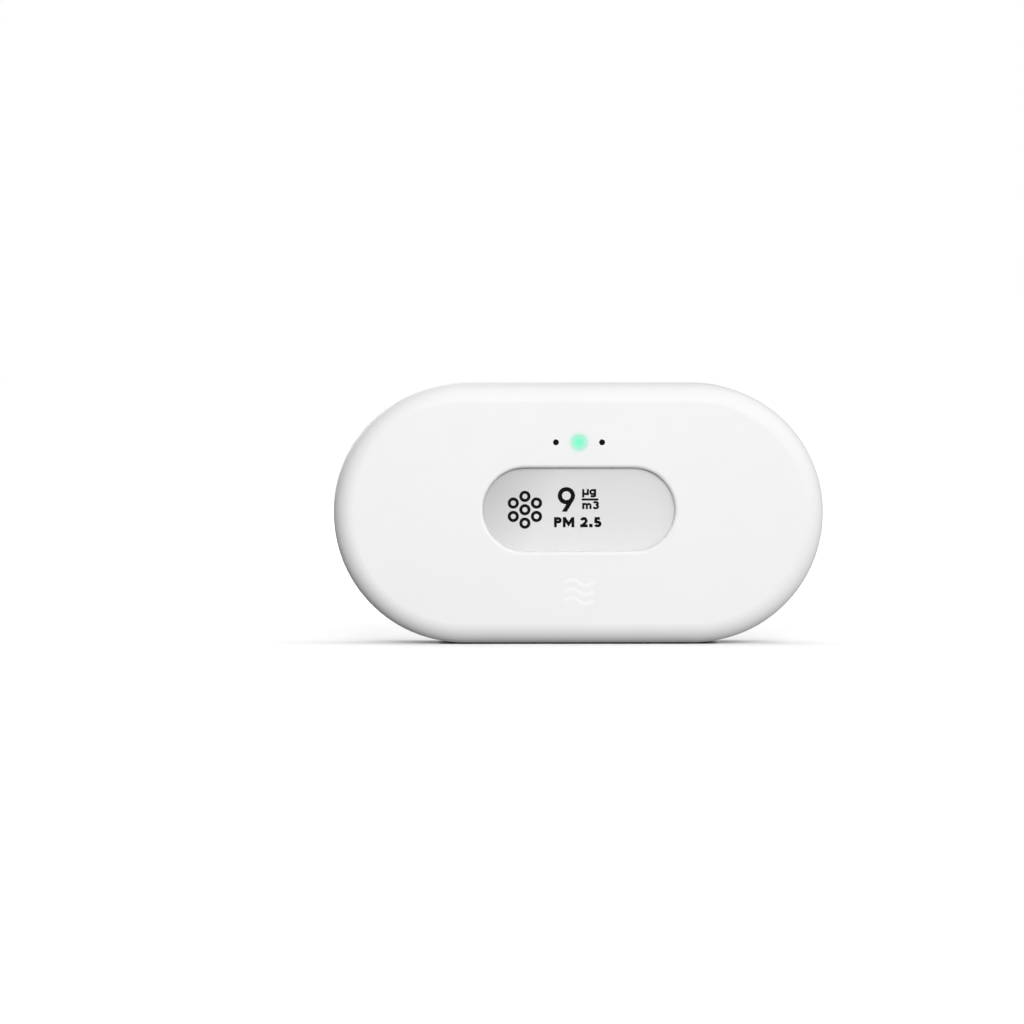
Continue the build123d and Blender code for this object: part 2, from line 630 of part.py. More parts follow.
def reset_button():
    """The long button: a cap in the rear cover, a flange that stops it falling out, and a stem."""
    body = rod(RESET_STEM_R, PLUNGER_TOP_Y, RESET_FLANGE_Y, RESET_X, RESET_V)
    body += rod(RESET_FLANGE_R, RESET_FLANGE_Y, REAR_IN_Y - 0.1, RESET_X, RESET_V)
    return body + soften(rod(RESET_CAP_R, REAR_IN_Y - 0.2, RESET_CAP_Y, RESET_X, RESET_V), 0.4, RESET_CAP_Y)


def ported(width, height, thick, x, v, port_r, dx=0.0, dv=0.0):
    """A soldered package on the back of the board, with a small round port."""
    top = BOARD_BACK_Y + thick
    return chip(width, height, thick, x, v) - rod(port_r, top - 0.4, top, x + dx, v + dv)


def microphone():
    """The sound sensor, with its port."""
    return ported(3.8, 3.0, 1.0, 27.0, 35.2, 0.3)


def humidity_sensor():
    """The humidity and temperature sensor."""
    return ported(2.5, 2.5, 0.9, -22.0, VENT_V, 0.5)


def voc_sensor():
    """The sensor of volatile compounds."""
    return ported(3.0, 3.0, 0.95, -15.6, VENT_V, 0.3, -0.7, 0.7)


def pressure_sensor():
    """The air pressure sensor."""
    return ported(2.0, 2.5, 0.8, 17.6, VENT_V, 0.25, 0.5, 0.6)


def co2_sensor():
    """The carbon dioxide sensor: a metal can with a round opening in its lid."""
    top = BOARD_BACK_Y + CO2_T
    body = soften(block(9.6, 9.4, BOARD_BACK_Y, top, CO2_X, CO2_V, 0.8), 0.5, top)
    return body - rod(3.1, top - 0.4, top, CO2_X, CO2_V)


def co2_filter():
    """The white membrane in the carbon dioxide sensor's opening."""
    top = BOARD_BACK_Y + CO2_T
    return rod(3.0, top - 0.4, top - 0.1, CO2_X, CO2_V)


# ---- Radon chamber -------------------------------------------------------------------------------
def radon_outline(inset):
    """The right end of the case's outline, cut off straight on three sides."""
    left = RADON_LEFT_X + inset
    half_h = RADON_HALF_H - inset
    keep = Pos((left + WIDTH / 2) / 2, 0) * Rectangle(WIDTH / 2 - left, 2 * half_h)
    return stadium(RADON_INSET + inset) & keep


def radon_chamber():
    """The dark chamber, open towards the board, with a hole for air in its back."""
    body = slab(radon_outline(0), BOARD_BACK_Y + 0.1, RADON_BACK_Y)
    body = fillet(body.edges().filter_by(Axis.Y), 1.6)
    body -= slab(radon_outline(RADON_WALL), BOARD_BACK_Y + 0.1, RADON_BACK_Y - RADON_WALL)
    return body - rod(RADON_HOLE_R, RADON_BACK_Y - RADON_WALL, RADON_BACK_Y, *RADON_HOLE)


def radon_filter():
    """The felt disc over the chamber's hole."""
    return rod(RADON_HOLE_R + 1.2, RADON_BACK_Y, RADON_BACK_Y + 1.0, *RADON_HOLE)


def radon_detector():
    """The square photodiode that counts decays inside the chamber."""
    top = BOARD_BACK_Y + 1.4
    return chip(11.0, 11.0, 1.4, DETECTOR_X, 0) - block(9.0, 9.0, top - 0.4, top, DETECTOR_X)


# ---- Dust sensor ---------------------------------------------------------------------------------
def dust_case():
    """The dust sensor's case, with an opening for its connector."""
    body = block(DUST_W, DUST_H, DUST_FRONT_Y, DUST_LID_Y, DUST_X, 0, 1.5)
    floor_y = DUST_FRONT_Y + 1.0
    body -= block(DUST_INNER_W, DUST_INNER_H, floor_y, DUST_LID_Y, DUST_X, 0, 0.8)
    return body - block(12.6, 3.8, DUST_FRONT_Y, floor_y, DUST_X, DUST_PLUG_V)


def dust_lid():
    """The lid, with the fan's round outlet grille and the air inlet."""
    body = block(DUST_W, DUST_H, DUST_LID_Y, DUST_BACK_Y, DUST_X, 0, 1.5)
    body = soften(body, 0.4, DUST_BACK_Y)
    grille = ring(Circle(7.0), Circle(2.6), DUST_LID_Y, DUST_BACK_Y, FAN_X, FAN_V)
    for turn in (0, 60, 120):
        spoke = slab(Rectangle(16.0, 1.2, rotation=turn), DUST_LID_Y, DUST_BACK_Y, FAN_X, FAN_V)
        grille -= spoke
    body -= grille
    return body - slots(3, 12.0, DUST_LID_Y, DUST_BACK_Y, CHANNEL_X, 4.0)


def dust_board():
    """The dust sensor's small circuit board."""
    return block(DUST_INNER_W - 0.4, DUST_INNER_H - 0.4, DUST_BOARD_Y, DUST_BOARD_Y + 1.0, DUST_X, 0, 0.6)


def dust_connector():
    """The plug-in connector between the two boards."""
    body = block(12.0, 3.2, BOARD_BACK_Y, DUST_BOARD_Y, DUST_X, DUST_PLUG_V)
    for i in range(5):
        body -= block(0.8, 0.8, DUST_BOARD_Y - 1.0, DUST_BOARD_Y, DUST_X - 4.0 + 2.0 * i, DUST_PLUG_V)
    return body


def dust_optics():
    """The black block that holds the laser and the light detector on either side of the air channel."""
    body = block(OPTICS_W, 30.0, DUST_FLOOR_Y, OPTICS_BACK_Y, OPTICS_X, 0, 1.0)
    body -= slab(SlotOverall(24.0, 3.4, 90), CHANNEL_Y, OPTICS_BACK_Y, CHANNEL_X, -1.0)
    bore = Pos(LASER_X, LASER_Y, MID_Z + LASER_V) * Cylinder(LASER_R + 0.05, 14.0)
    body -= bore & block(OPTICS_W, 12.0, DUST_FLOOR_Y, OPTICS_BACK_Y, OPTICS_X, LASER_V)
    return body - block(4.6, 3.4, DUST_FLOOR_Y, CHANNEL_Y, CHANNEL_X, DETECTOR_V)


def dust_laser():
    """The laser diode's brass barrel, with its lens bore."""
    barrel = Pos(LASER_X, LASER_Y, MID_Z + LASER_V + 1.0) * Cylinder(LASER_R, 8.0)
    return barrel - Pos(LASER_X, LASER_Y, MID_Z + LASER_V - 2.5) * Cylinder(1.2, 1.0)


def dust_detector():
    """The photodiode under the air channel."""
    return block(4.4, 3.2, DUST_FLOOR_Y, CHANNEL_Y - 0.3, CHANNEL_X, DETECTOR_V)


def fan_stator():
    """The fan motor's fixed coil on its base, bored for the bush."""
    body = rod(5.6, DUST_FLOOR_Y, STATOR_BASE_Y, FAN_X, FAN_V)
    body += rod(STATOR_R, STATOR_BASE_Y, STATOR_BACK_Y, FAN_X, FAN_V)
    for turn in range(45, 360, 90):
        gap_x = FAN_X + 2.6 * math.cos(math.radians(turn))
        gap_v = FAN_V + 2.6 * math.sin(math.radians(turn))
        body -= rod(0.5, STATOR_BASE_Y, STATOR_BACK_Y, gap_x, gap_v)
    return body - rod(BUSH_R + 0.01, STATOR_BASE_Y, STATOR_BACK_Y, FAN_X, FAN_V)


def fan_bush():
    """The sintered bush that the fan's shaft turns in."""
    return ring(Circle(BUSH_R), Circle(BUSH_BORE_R), STATOR_BASE_Y + 0.1, STATOR_BACK_Y, FAN_X, FAN_V)


def fan_rotor():
    """The blower wheel: a magnet cup on a shaft, a disc, and forward-curved blades under a ring."""
    cup = rod(FAN_HUB_R, FAN_FRONT_Y, FAN_BACK_Y, FAN_X, FAN_V)
    cup -= rod(FAN_HUB_R - 1.0, FAN_FRONT_Y, FAN_BACK_Y - 1.0, FAN_X, FAN_V)
    wheel = cup + rod(SHAFT_R, STATOR_BASE_Y + 0.3, FAN_BACK_Y - 0.5, FAN_X, FAN_V)
    wheel += ring(Circle(FAN_R), Circle(FAN_HUB_R - 0.5), FAN_FRONT_Y, FAN_FRONT_Y + 0.7, FAN_X, FAN_V)
    blade = trace(ThreePointArc((FAN_HUB_R - 0.2, 0), (7.2, 0.9), (FAN_R - 0.3, 0.2)), 0.5)
    for i in range(FAN_BLADES):
        turned = Rot(0, 0, 360.0 * i / FAN_BLADES) * blade
        wheel += slab(turned, FAN_FRONT_Y + 0.7, FAN_BACK_Y - 0.4, FAN_X, FAN_V)
    return wheel


def dust_seal():
    """Foam rings between the dust sensor's lid and the rear cover, round the inlet and the outlet."""
    outlet = ring(Circle(9.0), Circle(7.4), DUST_BACK_Y, REAR_IN_Y, FAN_X, FAN_V)
    inlet = ring(RectangleRounded(12.4, 28.0, 1.5), RectangleRounded(10.4, 26.0, 1.0), DUST_BACK_Y, REAR_IN_Y,
                 OPTICS_X, 0)
    return [outlet, inlet]


# ---- Batteries -----------------------------------------------------------------------------------
def cell_side(index):
    """+1 where a cell's positive end is up, and -1 where it is down: neighbours alternate."""
    return 1 if index % 2 == 0 else -1


def cell_x(index):
    """The x of one cell's axis."""
    return BAY_X + (index - (CELLS - 1) / 2) * CELL_PITCH


def battery(index):
    """An AA cell: a can with rounded ends, a positive nub and a shallow negative disc."""
    can_l = CELL_L - NUB_L
    can = fillet(Cylinder(CELL_R, can_l).edges(), CAN_EDGE_R)
    can += Pos(0, 0, can_l / 2 + NUB_L / 2) * Cylinder(NUB_R, NUB_L)
    can -= Pos(0, 0, -can_l / 2) * Cylinder(4.6, 0.3)
    tip = BAY_HALF_H - CONTACT_T - 0.05
    side = cell_side(index)
    cell = Pos(0, 0, tip - NUB_L - can_l / 2) * can
    if side < 0:
        cell = Rot(180, 0, 0) * cell
    return Pos(cell_x(index), CELL_Y, MID_Z) * cell


def battery_contacts():
    """Nickel plates that join the cells in series, with solder tabs on the two end plates."""
    reach = BAY_HALF_H - CONTACT_T / 2
    plates = []

    def plate(x, width, side):
        return Pos(x, CELL_Y, MID_Z + side * reach) * Box(width, CONTACT_W, CONTACT_T)

    for i in range(0, CELLS, 2):
        plates.append(plate((cell_x(i) + cell_x(i + 1)) / 2, CELL_PITCH + CONTACT_W, 1))
    for i in range(1, CELLS - 1, 2):
        plates.append(plate((cell_x(i) + cell_x(i + 1)) / 2, CELL_PITCH + CONTACT_W, -1))
    for x in contact_tabs():
        end = plate(x, CONTACT_W, -1)
        tab_front = BOARD_BACK_Y + 0.1
        tab_back = CELL_Y - CONTACT_W / 2
        tab = Pos(x, (tab_front + tab_back) / 2, MID_Z - reach) * Box(TAB_W, tab_back - tab_front, CONTACT_T)
        plates.append(end + tab)
    return plates


def contact_tabs():
    """The x of the two contact plates that connect the row of cells to the board."""
    return [cell_x(0), cell_x(CELLS - 1)]


def battery_springs():
    """A conical spring for each cell's negative end."""
    springs = []
    for i in range(CELLS):
        side = -cell_side(i)
        path = Helix(SPRING_L / SPRING_TURNS, SPRING_L - 2 * SPRING_WIRE_R, SPRING_R, cone_angle=SPRING_TAPER)
        section = Plane(origin=path @ 0, z_dir=path % 0) * Circle(SPRING_WIRE_R)
        spring = sweep(section, path=path, is_frenet=True)
        spring = Pos(0, 0, -BAY_HALF_H + CONTACT_T + SPRING_WIRE_R + 0.02) * spring
        if side > 0:
            spring = Rot(180, 0, 0) * spring
        springs.append(Pos(cell_x(i), CELL_Y, MID_Z) * spring)
    return springs


# ---- Output --------------------------------------------------------------------------------------
def nodes():
    """Every named piece of the object. Identical fasteners and small trim share a name."""
    made = {
        "front_cover": front_cover(),
        "rear_cover": rear_cover(),
        "wall_plate": wall_plate(),
        "case_screws": case_screws(),
        "emblem_print": emblem(EMBLEM_DEPTH),
        "vent_filters": vent_filters(),
        "case_magnets": magnets(SEAT_FLOOR_Y + MAGNET_FIT),
        "plate_magnets": magnets(PAD_Y + MAGNET_FIT),
        "display_lens": display_lens(),
        "display_gasket": display_gasket(),
        "display_panel": display_panel(),
        "display_frame": display_frame(),
        "display_cable": display_cable(),
        "display_connector": display_connector(),
        "indicator_lens": indicator_lens(),
        "indicator_led": indicator_led(),
        "motion_window": sensor_window(-EYE_X),
        "light_window": sensor_window(EYE_X),
        "motion_sensor": motion_sensor(),
        "light_sensor": light_sensor(),
        "light_baffle": light_baffle(),
        "main_board": main_board(),
        "board_screws": board_screws(),
        "board_components": board_components(),
        "processor_chip": processor_chip(),
        "radio_module": radio_module(),
        "radio_shield": radio_shield(),
        "antenna": antenna(),
        "usb_socket": usb_socket(),
        "reset_switch": reset_switch(),
        "reset_plunger": reset_plunger(),
        "reset_button": reset_button(),
        "microphone": microphone(),
        "humidity_sensor": humidity_sensor(),
        "voc_sensor": voc_sensor(),
        "pressure_sensor": pressure_sensor(),
        "co2_sensor": co2_sensor(),
        "co2_filter": co2_filter(),
        "radon_chamber": radon_chamber(),
        "radon_filter": radon_filter(),
        "radon_detector": radon_detector(),
        "dust_case": dust_case(),
        "dust_lid": dust_lid(),
        "dust_board": dust_board(),
        "dust_connector": dust_connector(),
        "dust_optics": dust_optics(),
        "dust_laser": dust_laser(),
        "dust_detector": dust_detector(),
        "dust_seal": dust_seal(),
        "fan_stator": fan_stator(),
        "fan_bush": fan_bush(),
        "fan_rotor": fan_rotor(),
        "battery_contacts": battery_contacts(),
        "battery_springs": battery_springs(),
    }
    for i in range(CELLS):
        made[f"battery_{i + 1}"] = battery(i)
    return made


def main():
    """Writes each piece to its own file."""
    os.makedirs("parts", exist_ok=True)
    for name, shape in nodes().items():
        solids = [s for item in (shape if isinstance(shape, list) else [shape]) for s in item.solids()]
        export_step(Compound(children=solids), f"parts/{name}.step")


main()
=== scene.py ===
"""Looks for the air quality monitor: procedural finishes for every part, the display's artwork, the
printed battery wraps, and a plain studio. Lengths are metres, except that what is drawn on the display
is laid out in millimetres from the middle of its window."""

import json
import math

import bmesh
import bpy
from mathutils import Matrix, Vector


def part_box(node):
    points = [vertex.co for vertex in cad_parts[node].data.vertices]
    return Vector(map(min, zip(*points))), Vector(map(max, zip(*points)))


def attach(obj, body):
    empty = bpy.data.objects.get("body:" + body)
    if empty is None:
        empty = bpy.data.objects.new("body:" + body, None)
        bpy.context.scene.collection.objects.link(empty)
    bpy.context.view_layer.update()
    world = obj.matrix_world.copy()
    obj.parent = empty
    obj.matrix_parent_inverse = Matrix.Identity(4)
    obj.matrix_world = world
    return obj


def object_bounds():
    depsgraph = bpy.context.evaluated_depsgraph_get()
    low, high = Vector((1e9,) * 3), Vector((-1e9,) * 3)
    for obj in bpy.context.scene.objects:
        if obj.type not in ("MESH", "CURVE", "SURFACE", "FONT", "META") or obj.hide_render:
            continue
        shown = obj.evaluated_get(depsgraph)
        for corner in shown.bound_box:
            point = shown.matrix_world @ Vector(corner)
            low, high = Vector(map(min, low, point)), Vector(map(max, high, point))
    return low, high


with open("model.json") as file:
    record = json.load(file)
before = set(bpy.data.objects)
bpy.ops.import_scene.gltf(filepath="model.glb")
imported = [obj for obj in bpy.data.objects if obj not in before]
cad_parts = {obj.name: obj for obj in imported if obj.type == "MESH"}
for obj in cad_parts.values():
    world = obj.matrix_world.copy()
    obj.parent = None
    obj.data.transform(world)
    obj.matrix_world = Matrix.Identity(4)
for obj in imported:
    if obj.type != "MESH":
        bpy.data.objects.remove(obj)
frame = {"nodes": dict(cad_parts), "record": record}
CAD_LOW, CAD_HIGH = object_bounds()
MM = 0.001
BODY = "case"


def middle(node):
    """The middle of a CAD node's box."""
    low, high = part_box(node)
    return (low + high) / 2


# ---- Places taken from the frame ----------------------------------------------------------------------
PAPER_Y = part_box("display_panel")[0].y
WINDOW = middle("display_lens")
LIGHT = middle("indicator_lens")
CELLS = sorted(n for n in frame["nodes"] if n.startswith("battery_") and n[-1].isdigit())


# ---- Building node materials --------------------------------------------------------------------------
def grey(value):
    """A neutral colour."""
    return (value, value, value, 1.0)


class Finish:
    """A material in the making: a Principled shader and the nodes that feed it."""

    def __init__(self, name, roughness, metallic=0.0, **constants):
        self.material = bpy.data.materials.new(name)
        self.material.use_nodes = True
        self.tree = self.material.node_tree
        self.shader = self.tree.nodes["Principled BSDF"]
        self.place = self.node("ShaderNodeTexCoord").outputs["Object"]
        self.feed(self.shader, {"Roughness": roughness, "Metallic": metallic})
        self.feed(self.shader, {key.replace("_", " "): value for key, value in constants.items()})

    def node(self, kind, inputs=None, **settings):
        """Adds a node, with its settings and what its inputs take."""
        made = self.tree.nodes.new(kind)
        for key, value in settings.items():
            setattr(made, key, value)
        self.feed(made, inputs or {})
        return made

    def feed(self, node, inputs):
        """Links or sets a node's inputs, by name or number."""
        for key, value in inputs.items():
            if isinstance(value, bpy.types.NodeSocket):
                self.tree.links.new(value, node.inputs[key])
            else:
                node.inputs[key].default_value = value

    def set(self, **inputs):
        """Links or sets the shader's own inputs; an underscore stands for a space."""
        self.feed(self.shader, {key.replace("_", " "): value for key, value in inputs.items()})

    def math(self, operation, a, b=0.0, c=0.0):
        """One arithmetic step."""
        return self.node("ShaderNodeMath", {0: a, 1: b, 2: c}, operation=operation).outputs[0]

    def vector(self, operation, a, b):
        """One vector step, such as MULTIPLY or SUBTRACT."""
        return self.node("ShaderNodeVectorMath", {0: a, 1: b}, operation=operation).outputs[0]

    def length(self, vector):
        """The length of a vector."""
        return self.node("ShaderNodeVectorMath", {0: vector}, operation="LENGTH").outputs["Value"]

    def axis(self, vector, name):
        """One coordinate of a vector: X, Y or Z."""
        return self.node("ShaderNodeSeparateXYZ", {0: vector}).outputs[name]

    def stretched(self, x, y, z):
        """The place, scaled along each axis."""
        return self.vector("MULTIPLY", self.place, (x, y, z))

    def noise(self, scale, detail=2.0, place=None):
        """Cloudy noise, from 0 to 1."""
        inputs = {"Vector": place or self.place, "Scale": scale, "Detail": detail}
        return self.node("ShaderNodeTexNoise", inputs).outputs["Fac"]

    def cells(self, scale, place=None, randomness=1.0, **settings):
        """The distance field of scattered cells."""
        inputs = {"Vector": place or self.place, "Scale": scale, "Randomness": randomness}
        return self.node("ShaderNodeTexVoronoi", inputs, **settings).outputs["Distance"]

    def chance(self, place):
        """An even random number from 0 to 1 for each exact place."""
        made = self.node("ShaderNodeTexWhiteNoise", {"Vector": place}, noise_dimensions="3D")
        return made.outputs["Value"]

    def routes(self, scale, width, place):
        """Lines that run level, upright or at 45 degrees, as a board's tracks do."""
        settings = {"distance": "MANHATTAN", "voronoi_dimensions": "2D"}
        first = self.cells(scale, place, 0.85, feature="F1", **settings)
        second = self.cells(scale, place, 0.85, feature="F2", **settings)
        gap = self.math("SUBTRACT", second, first)
        return self.step(gap, 0.8 * width * scale, 1.2 * width * scale, 1.0, 0.0, smooth=False)

    def buses(self, block, pitch, place):
        """Groups of parallel lines: level in some square blocks, upright in others, none in the rest."""
        pick = self.chance(self.vector("SNAP", place, (block, block, block)))
        is_level = self.math("LESS_THAN", pick, 0.35)
        is_upright = self.math("GREATER_THAN", pick, 0.65)
        level = self.math("MULTIPLY", self.stripes("Y", pitch, place), is_level)
        upright = self.math("MULTIPLY", self.stripes("X", pitch, place), is_upright)
        return self.math("MAXIMUM", level, upright)

    def stripes(self, name, pitch, place):
        """Even lines across one coordinate, each about a third of the pitch wide."""
        count = self.math("MULTIPLY", self.axis(place, name), 1 / pitch)
        return self.step(self.math("FRACT", count), 0.66, 0.72)

    def openness(self, reach):
        """How open the surroundings are within reach, from 0 to 1."""
        return self.node("ShaderNodeAmbientOcclusion", {"Distance": reach}, samples=8).outputs["AO"]

    def step(self, value, low, high, to_low=0.0, to_high=1.0, smooth=True):
        """Maps a value between two limits to another range, held at the ends."""
        kind = "SMOOTHSTEP" if smooth else "LINEAR"
        inputs = {"Value": value, "From Min": low, "From Max": high, "To Min": to_low, "To Max": to_high}
        return self.node("ShaderNodeMapRange", inputs, interpolation_type=kind, clamp=True).outputs[0]

    def mix(self, share, a, b):
        """Two colours mixed."""
        made = self.node("ShaderNodeMix", data_type="RGBA")
        self.feed(made, {0: share, 6: a, 7: b})
        return made.outputs[2]

    def bump(self, height, distance, strength):
        """Bends the surface's normal by a height field, where a height of 1 is distance metres."""
        inputs = {"Height": height, "Distance": distance, "Strength": strength}
        self.set(Normal=self.node("ShaderNodeBump", inputs).outputs["Normal"])


# ---- Finishes -----------------------------------------------------------------------------------------
CLOUD_SCALE = 22.0
GRAIN_DEPTH = 0.010 * MM


def moulded(name, dark, light, roughness, grain=3200.0, **constants):
    """Moulded plastic: fine spark texture, slight cloudiness, and a roughness that varies a little."""
    made = Finish(name, roughness, **constants)
    made.set(Base_Color=made.mix(made.noise(CLOUD_SCALE, 3.0), dark, light))
    made.set(Roughness=made.step(made.noise(140.0, 4.0), 0.3, 0.7, roughness - 0.05, roughness + 0.05))
    texture = made.math("ADD", made.noise(grain, 3.0), made.cells(grain * 0.6))
    made.bump(texture, GRAIN_DEPTH, 0.5)
    return made


CASE_DARK = (0.815, 0.815, 0.815, 1.0)
CASE_LIGHT = (0.835, 0.835, 0.835, 1.0)


def case_finish(name):
    """The case's satin white plastic."""
    return moulded(name, CASE_DARK, CASE_LIGHT, 0.48, Specular_IOR_Level=0.22)


LIGHT_R = 2.5 * MM
HALO_R = 4.5 * MM
HALO_FALL = 1.75
# Painted light: the indicator's glow on the white plastic round its lens.
HALO_GLOW_PAINT = (0.465, 0.820, 0.670, 1.0)
DIFFUSER_CORE = (0.070, 0.415, 0.262, 1.0)
DIFFUSER_RIM = (0.360, 0.620, 0.520, 1.0)
GLOW_CORE = (0.235, 0.99, 0.60, 1.0)
GLOW_RIM = (0.53, 1.0, 0.780, 1.0)
LIT_CORE = 0.50
LIT_RIM = 0.20
LIT_GRAIN = 0.03


def light_reach(made):
    """How far a place on the front is from the indicator's middle."""
    offset = made.vector("SUBTRACT", made.place, tuple(LIGHT))
    return made.length(made.vector("MULTIPLY", offset, (1.0, 0.0, 1.0)))


def front_finish():
    """The same plastic, with the indicator's mint glow painted into its colour round the lens."""
    made = case_finish("white_front")
    near = made.step(light_reach(made), LIGHT_R, HALO_R, 1.0, 0.0, smooth=False)
    plain = made.mix(made.noise(CLOUD_SCALE, 3.0), CASE_DARK, CASE_LIGHT)
    # Painted light: the mint glow fades out from the lens's edge to the halo's edge.
    made.set(Base_Color=made.mix(made.math("POWER", near, HALO_FALL), plain, HALO_GLOW_PAINT))
    return made


def light_finish():
    """The lit diffuser: mint green, paler towards its rim."""
    made = Finish("light_diffuser", 0.5, Specular_IOR_Level=0.3)
    rim = made.math("POWER", made.step(light_reach(made), 0.0, LIGHT_R, smooth=False), 3.0)
    grain = made.noise(1800.0, 2.0)
    made.set(Base_Color=made.mix(rim, DIFFUSER_CORE, DIFFUSER_RIM))
    made.set(Emission_Color=made.mix(rim, GLOW_CORE, GLOW_RIM))
    lit = made.step(rim, 0.0, 1.0, LIT_CORE, LIT_RIM, smooth=False)
    made.set(Emission_Strength=made.math("ADD", lit, made.math("MULTIPLY", grain, LIT_GRAIN)))
    made.bump(grain, 0.004 * MM, 0.4)
    return made


def emblem_finish():
    """Gloss white print, very slightly orange-peeled."""
    made = Finish("gloss_print", 0.12, Coat_Weight=0.6, Coat_Roughness=0.05)
    made.set(Base_Color=made.mix(made.noise(60.0), grey(0.93), grey(0.96)))
    made.bump(made.noise(700.0, 1.0), 0.004 * MM, 0.3)
    return made


def lens_finish():
    """The clear anti-glare window."""
    made = Finish("clear_window", 0.22, Alpha=0.015, IOR=1.49)
    made.set(Base_Color=made.mix(made.noise(90.0), grey(0.10), grey(0.14)))
    made.bump(made.noise(2600.0, 2.0), 0.003 * MM, 0.3)
    return made


# The first tone is painted shade on the paper; the second is the paper fully lit.
PAPER_SHADE = (0.430, 0.434, 0.430, 1.0)
PAPER_LIGHT = (0.835, 0.840, 0.835, 1.0)
PAPER_SPECK = (0.570, 0.575, 0.570, 1.0)

# Painted shade: the paper brightens across these spans, measured from the window's middle: to the right,
# and downwards.
PAPER_SIDE = (-41 * MM, -11 * MM)
PAPER_SIDE_SHARE = 0.70
PAPER_SLANT = -0.4
PAPER_FOOT = (15 * MM, -15 * MM)
PAPER_FOOT_SHARE = 0.30
PAPER_CLOUD = 0.06
CAPSULE_SCALE = 5200.0


def paper_finish():
    """Electronic paper: pale grey, speckled by its ink capsules, with painted shade that darkens it to the
    left and the top.
    """
    made = Finish("electronic_paper", 0.78, Specular_IOR_Level=0.2)
    capsules = made.cells(CAPSULE_SCALE)
    offset = made.vector("SUBTRACT", made.place, tuple(WINDOW))
    slant = made.math("MULTIPLY_ADD", made.axis(offset, "Z"), PAPER_SLANT, made.axis(offset, "X"))
    side = made.step(slant, *PAPER_SIDE, smooth=False)
    foot = made.step(made.axis(offset, "Z"), *PAPER_FOOT, smooth=False)
    share = made.math("MULTIPLY_ADD", side, PAPER_SIDE_SHARE, made.math("MULTIPLY", foot, PAPER_FOOT_SHARE))
    lit_share = made.math("MULTIPLY_ADD", made.noise(45.0), PAPER_CLOUD, share)
    # Painted shade: darker to the left and the top of the window, lighter to the lower right.
    pale = made.mix(lit_share, PAPER_SHADE, PAPER_LIGHT)
    speckled = made.mix(made.step(capsules, 0.2, 0.9, 0.0, 0.3), pale, PAPER_SPECK)
    made.set(Base_Color=speckled)
    made.bump(capsules, 0.006 * MM, 0.4)
    return made


def ink_finish():
    """Black ink, broken up slightly by the capsules."""
    made = Finish("display_ink", 0.8, Specular_IOR_Level=0.03)
    capsules = made.cells(CAPSULE_SCALE)
    made.set(Base_Color=made.mix(made.step(capsules, 0.35, 0.95), grey(0.0015), grey(0.005)))
    return made


def window_finish():
    """Polished black, clear only to infrared."""
    made = Finish("infrared_window", 0.08, Specular_IOR_Level=0.35)
    made.set(Base_Color=made.mix(made.noise(300.0), grey(0.001), grey(0.0025)))
    return made


def rubber_finish(name, pores, depth):
    """Black rubber or foam: matt and finely pitted, with painted shade in the pits."""
    made = Finish(name, 0.85, Specular_IOR_Level=0.3)
    pits = made.cells(pores)
    # Painted shade: darker in the pits.
    made.set(Base_Color=made.mix(made.step(pits, 0.1, 0.6), grey(0.012), grey(0.035)))
    made.bump(pits, depth, 0.8)
    return made


def pressed_steel(name, dark, light, roughness):
    """Thin plated steel: fine rolling marks along X and faint stains."""
    made = Finish(name, roughness, 1.0)
    marks = made.noise(1.0, 3.0, made.stretched(160.0, 5200.0, 5200.0))
    stains = made.noise(120.0, 3.0)
    made.set(Base_Color=made.mix(stains, grey(dark), grey(light)))
    made.set(Roughness=made.step(marks, 0.3, 0.7, roughness - 0.03, roughness + 0.05))
    made.bump(marks, 0.0015 * MM, 0.5)
    return made


def turned_metal(name, dark, light, roughness):
    """Turned or stamped brass or bronze, with fine marks that run along X."""
    made = Finish(name, roughness, 1.0)
    rings = made.noise(1.0, 2.0, made.stretched(700.0, 9000.0, 9000.0))
    made.set(Base_Color=made.mix(made.noise(260.0, 4.0), dark, light))
    made.set(Roughness=made.step(rings, 0.3, 0.7, roughness - 0.06, roughness + 0.10))
    made.bump(rings, 0.005 * MM, 0.5)
    return made


NICKEL = ((0.58, 0.565, 0.53, 1.0), (0.70, 0.69, 0.66, 1.0))
ZINC = ((0.42, 0.43, 0.45, 1.0), (0.58, 0.59, 0.60, 1.0))


def nickel_finish():
    """Bright nickel plate with faint handling marks."""
    made = Finish("nickel_plate", 0.16, 1.0)
    scuffs = made.noise(1.0, 5.0, made.stretched(900.0, 900.0, 260.0))
    made.set(Base_Color=made.mix(scuffs, *NICKEL))
    made.set(Roughness=made.step(scuffs, 0.42, 0.62, 0.12, 0.30))
    made.bump(scuffs, 0.003 * MM, 0.4)
    return made


def screw_finish():
    """Zinc plate, with a duller, slightly blue cast."""
    made = Finish("zinc_plate", 0.34, 1.0)
    cloud = made.noise(900.0, 4.0)
    made.set(Base_Color=made.mix(cloud, *ZINC))
    made.set(Roughness=made.step(cloud, 0.3, 0.7, 0.26, 0.44))
    made.bump(made.noise(4200.0, 2.0), 0.006 * MM, 0.5)
    return made


TRACK_SCALE = 150.0
TRACK_W = 0.45 * MM
BUS_BLOCK = 6 * MM
BUS_PITCH = 0.75 * MM
VIA_SCALE = 210.0
VIA_RING = (0.050, 0.058)
VIA_HOLE = (0.024, 0.030)
MASK = ((0.010, 0.085, 0.040, 1.0), (0.016, 0.110, 0.052, 1.0))
MASK_ON_COPPER = (0.022, 0.145, 0.068, 1.0)
VIA_TIN = (0.62, 0.58, 0.46, 1.0)


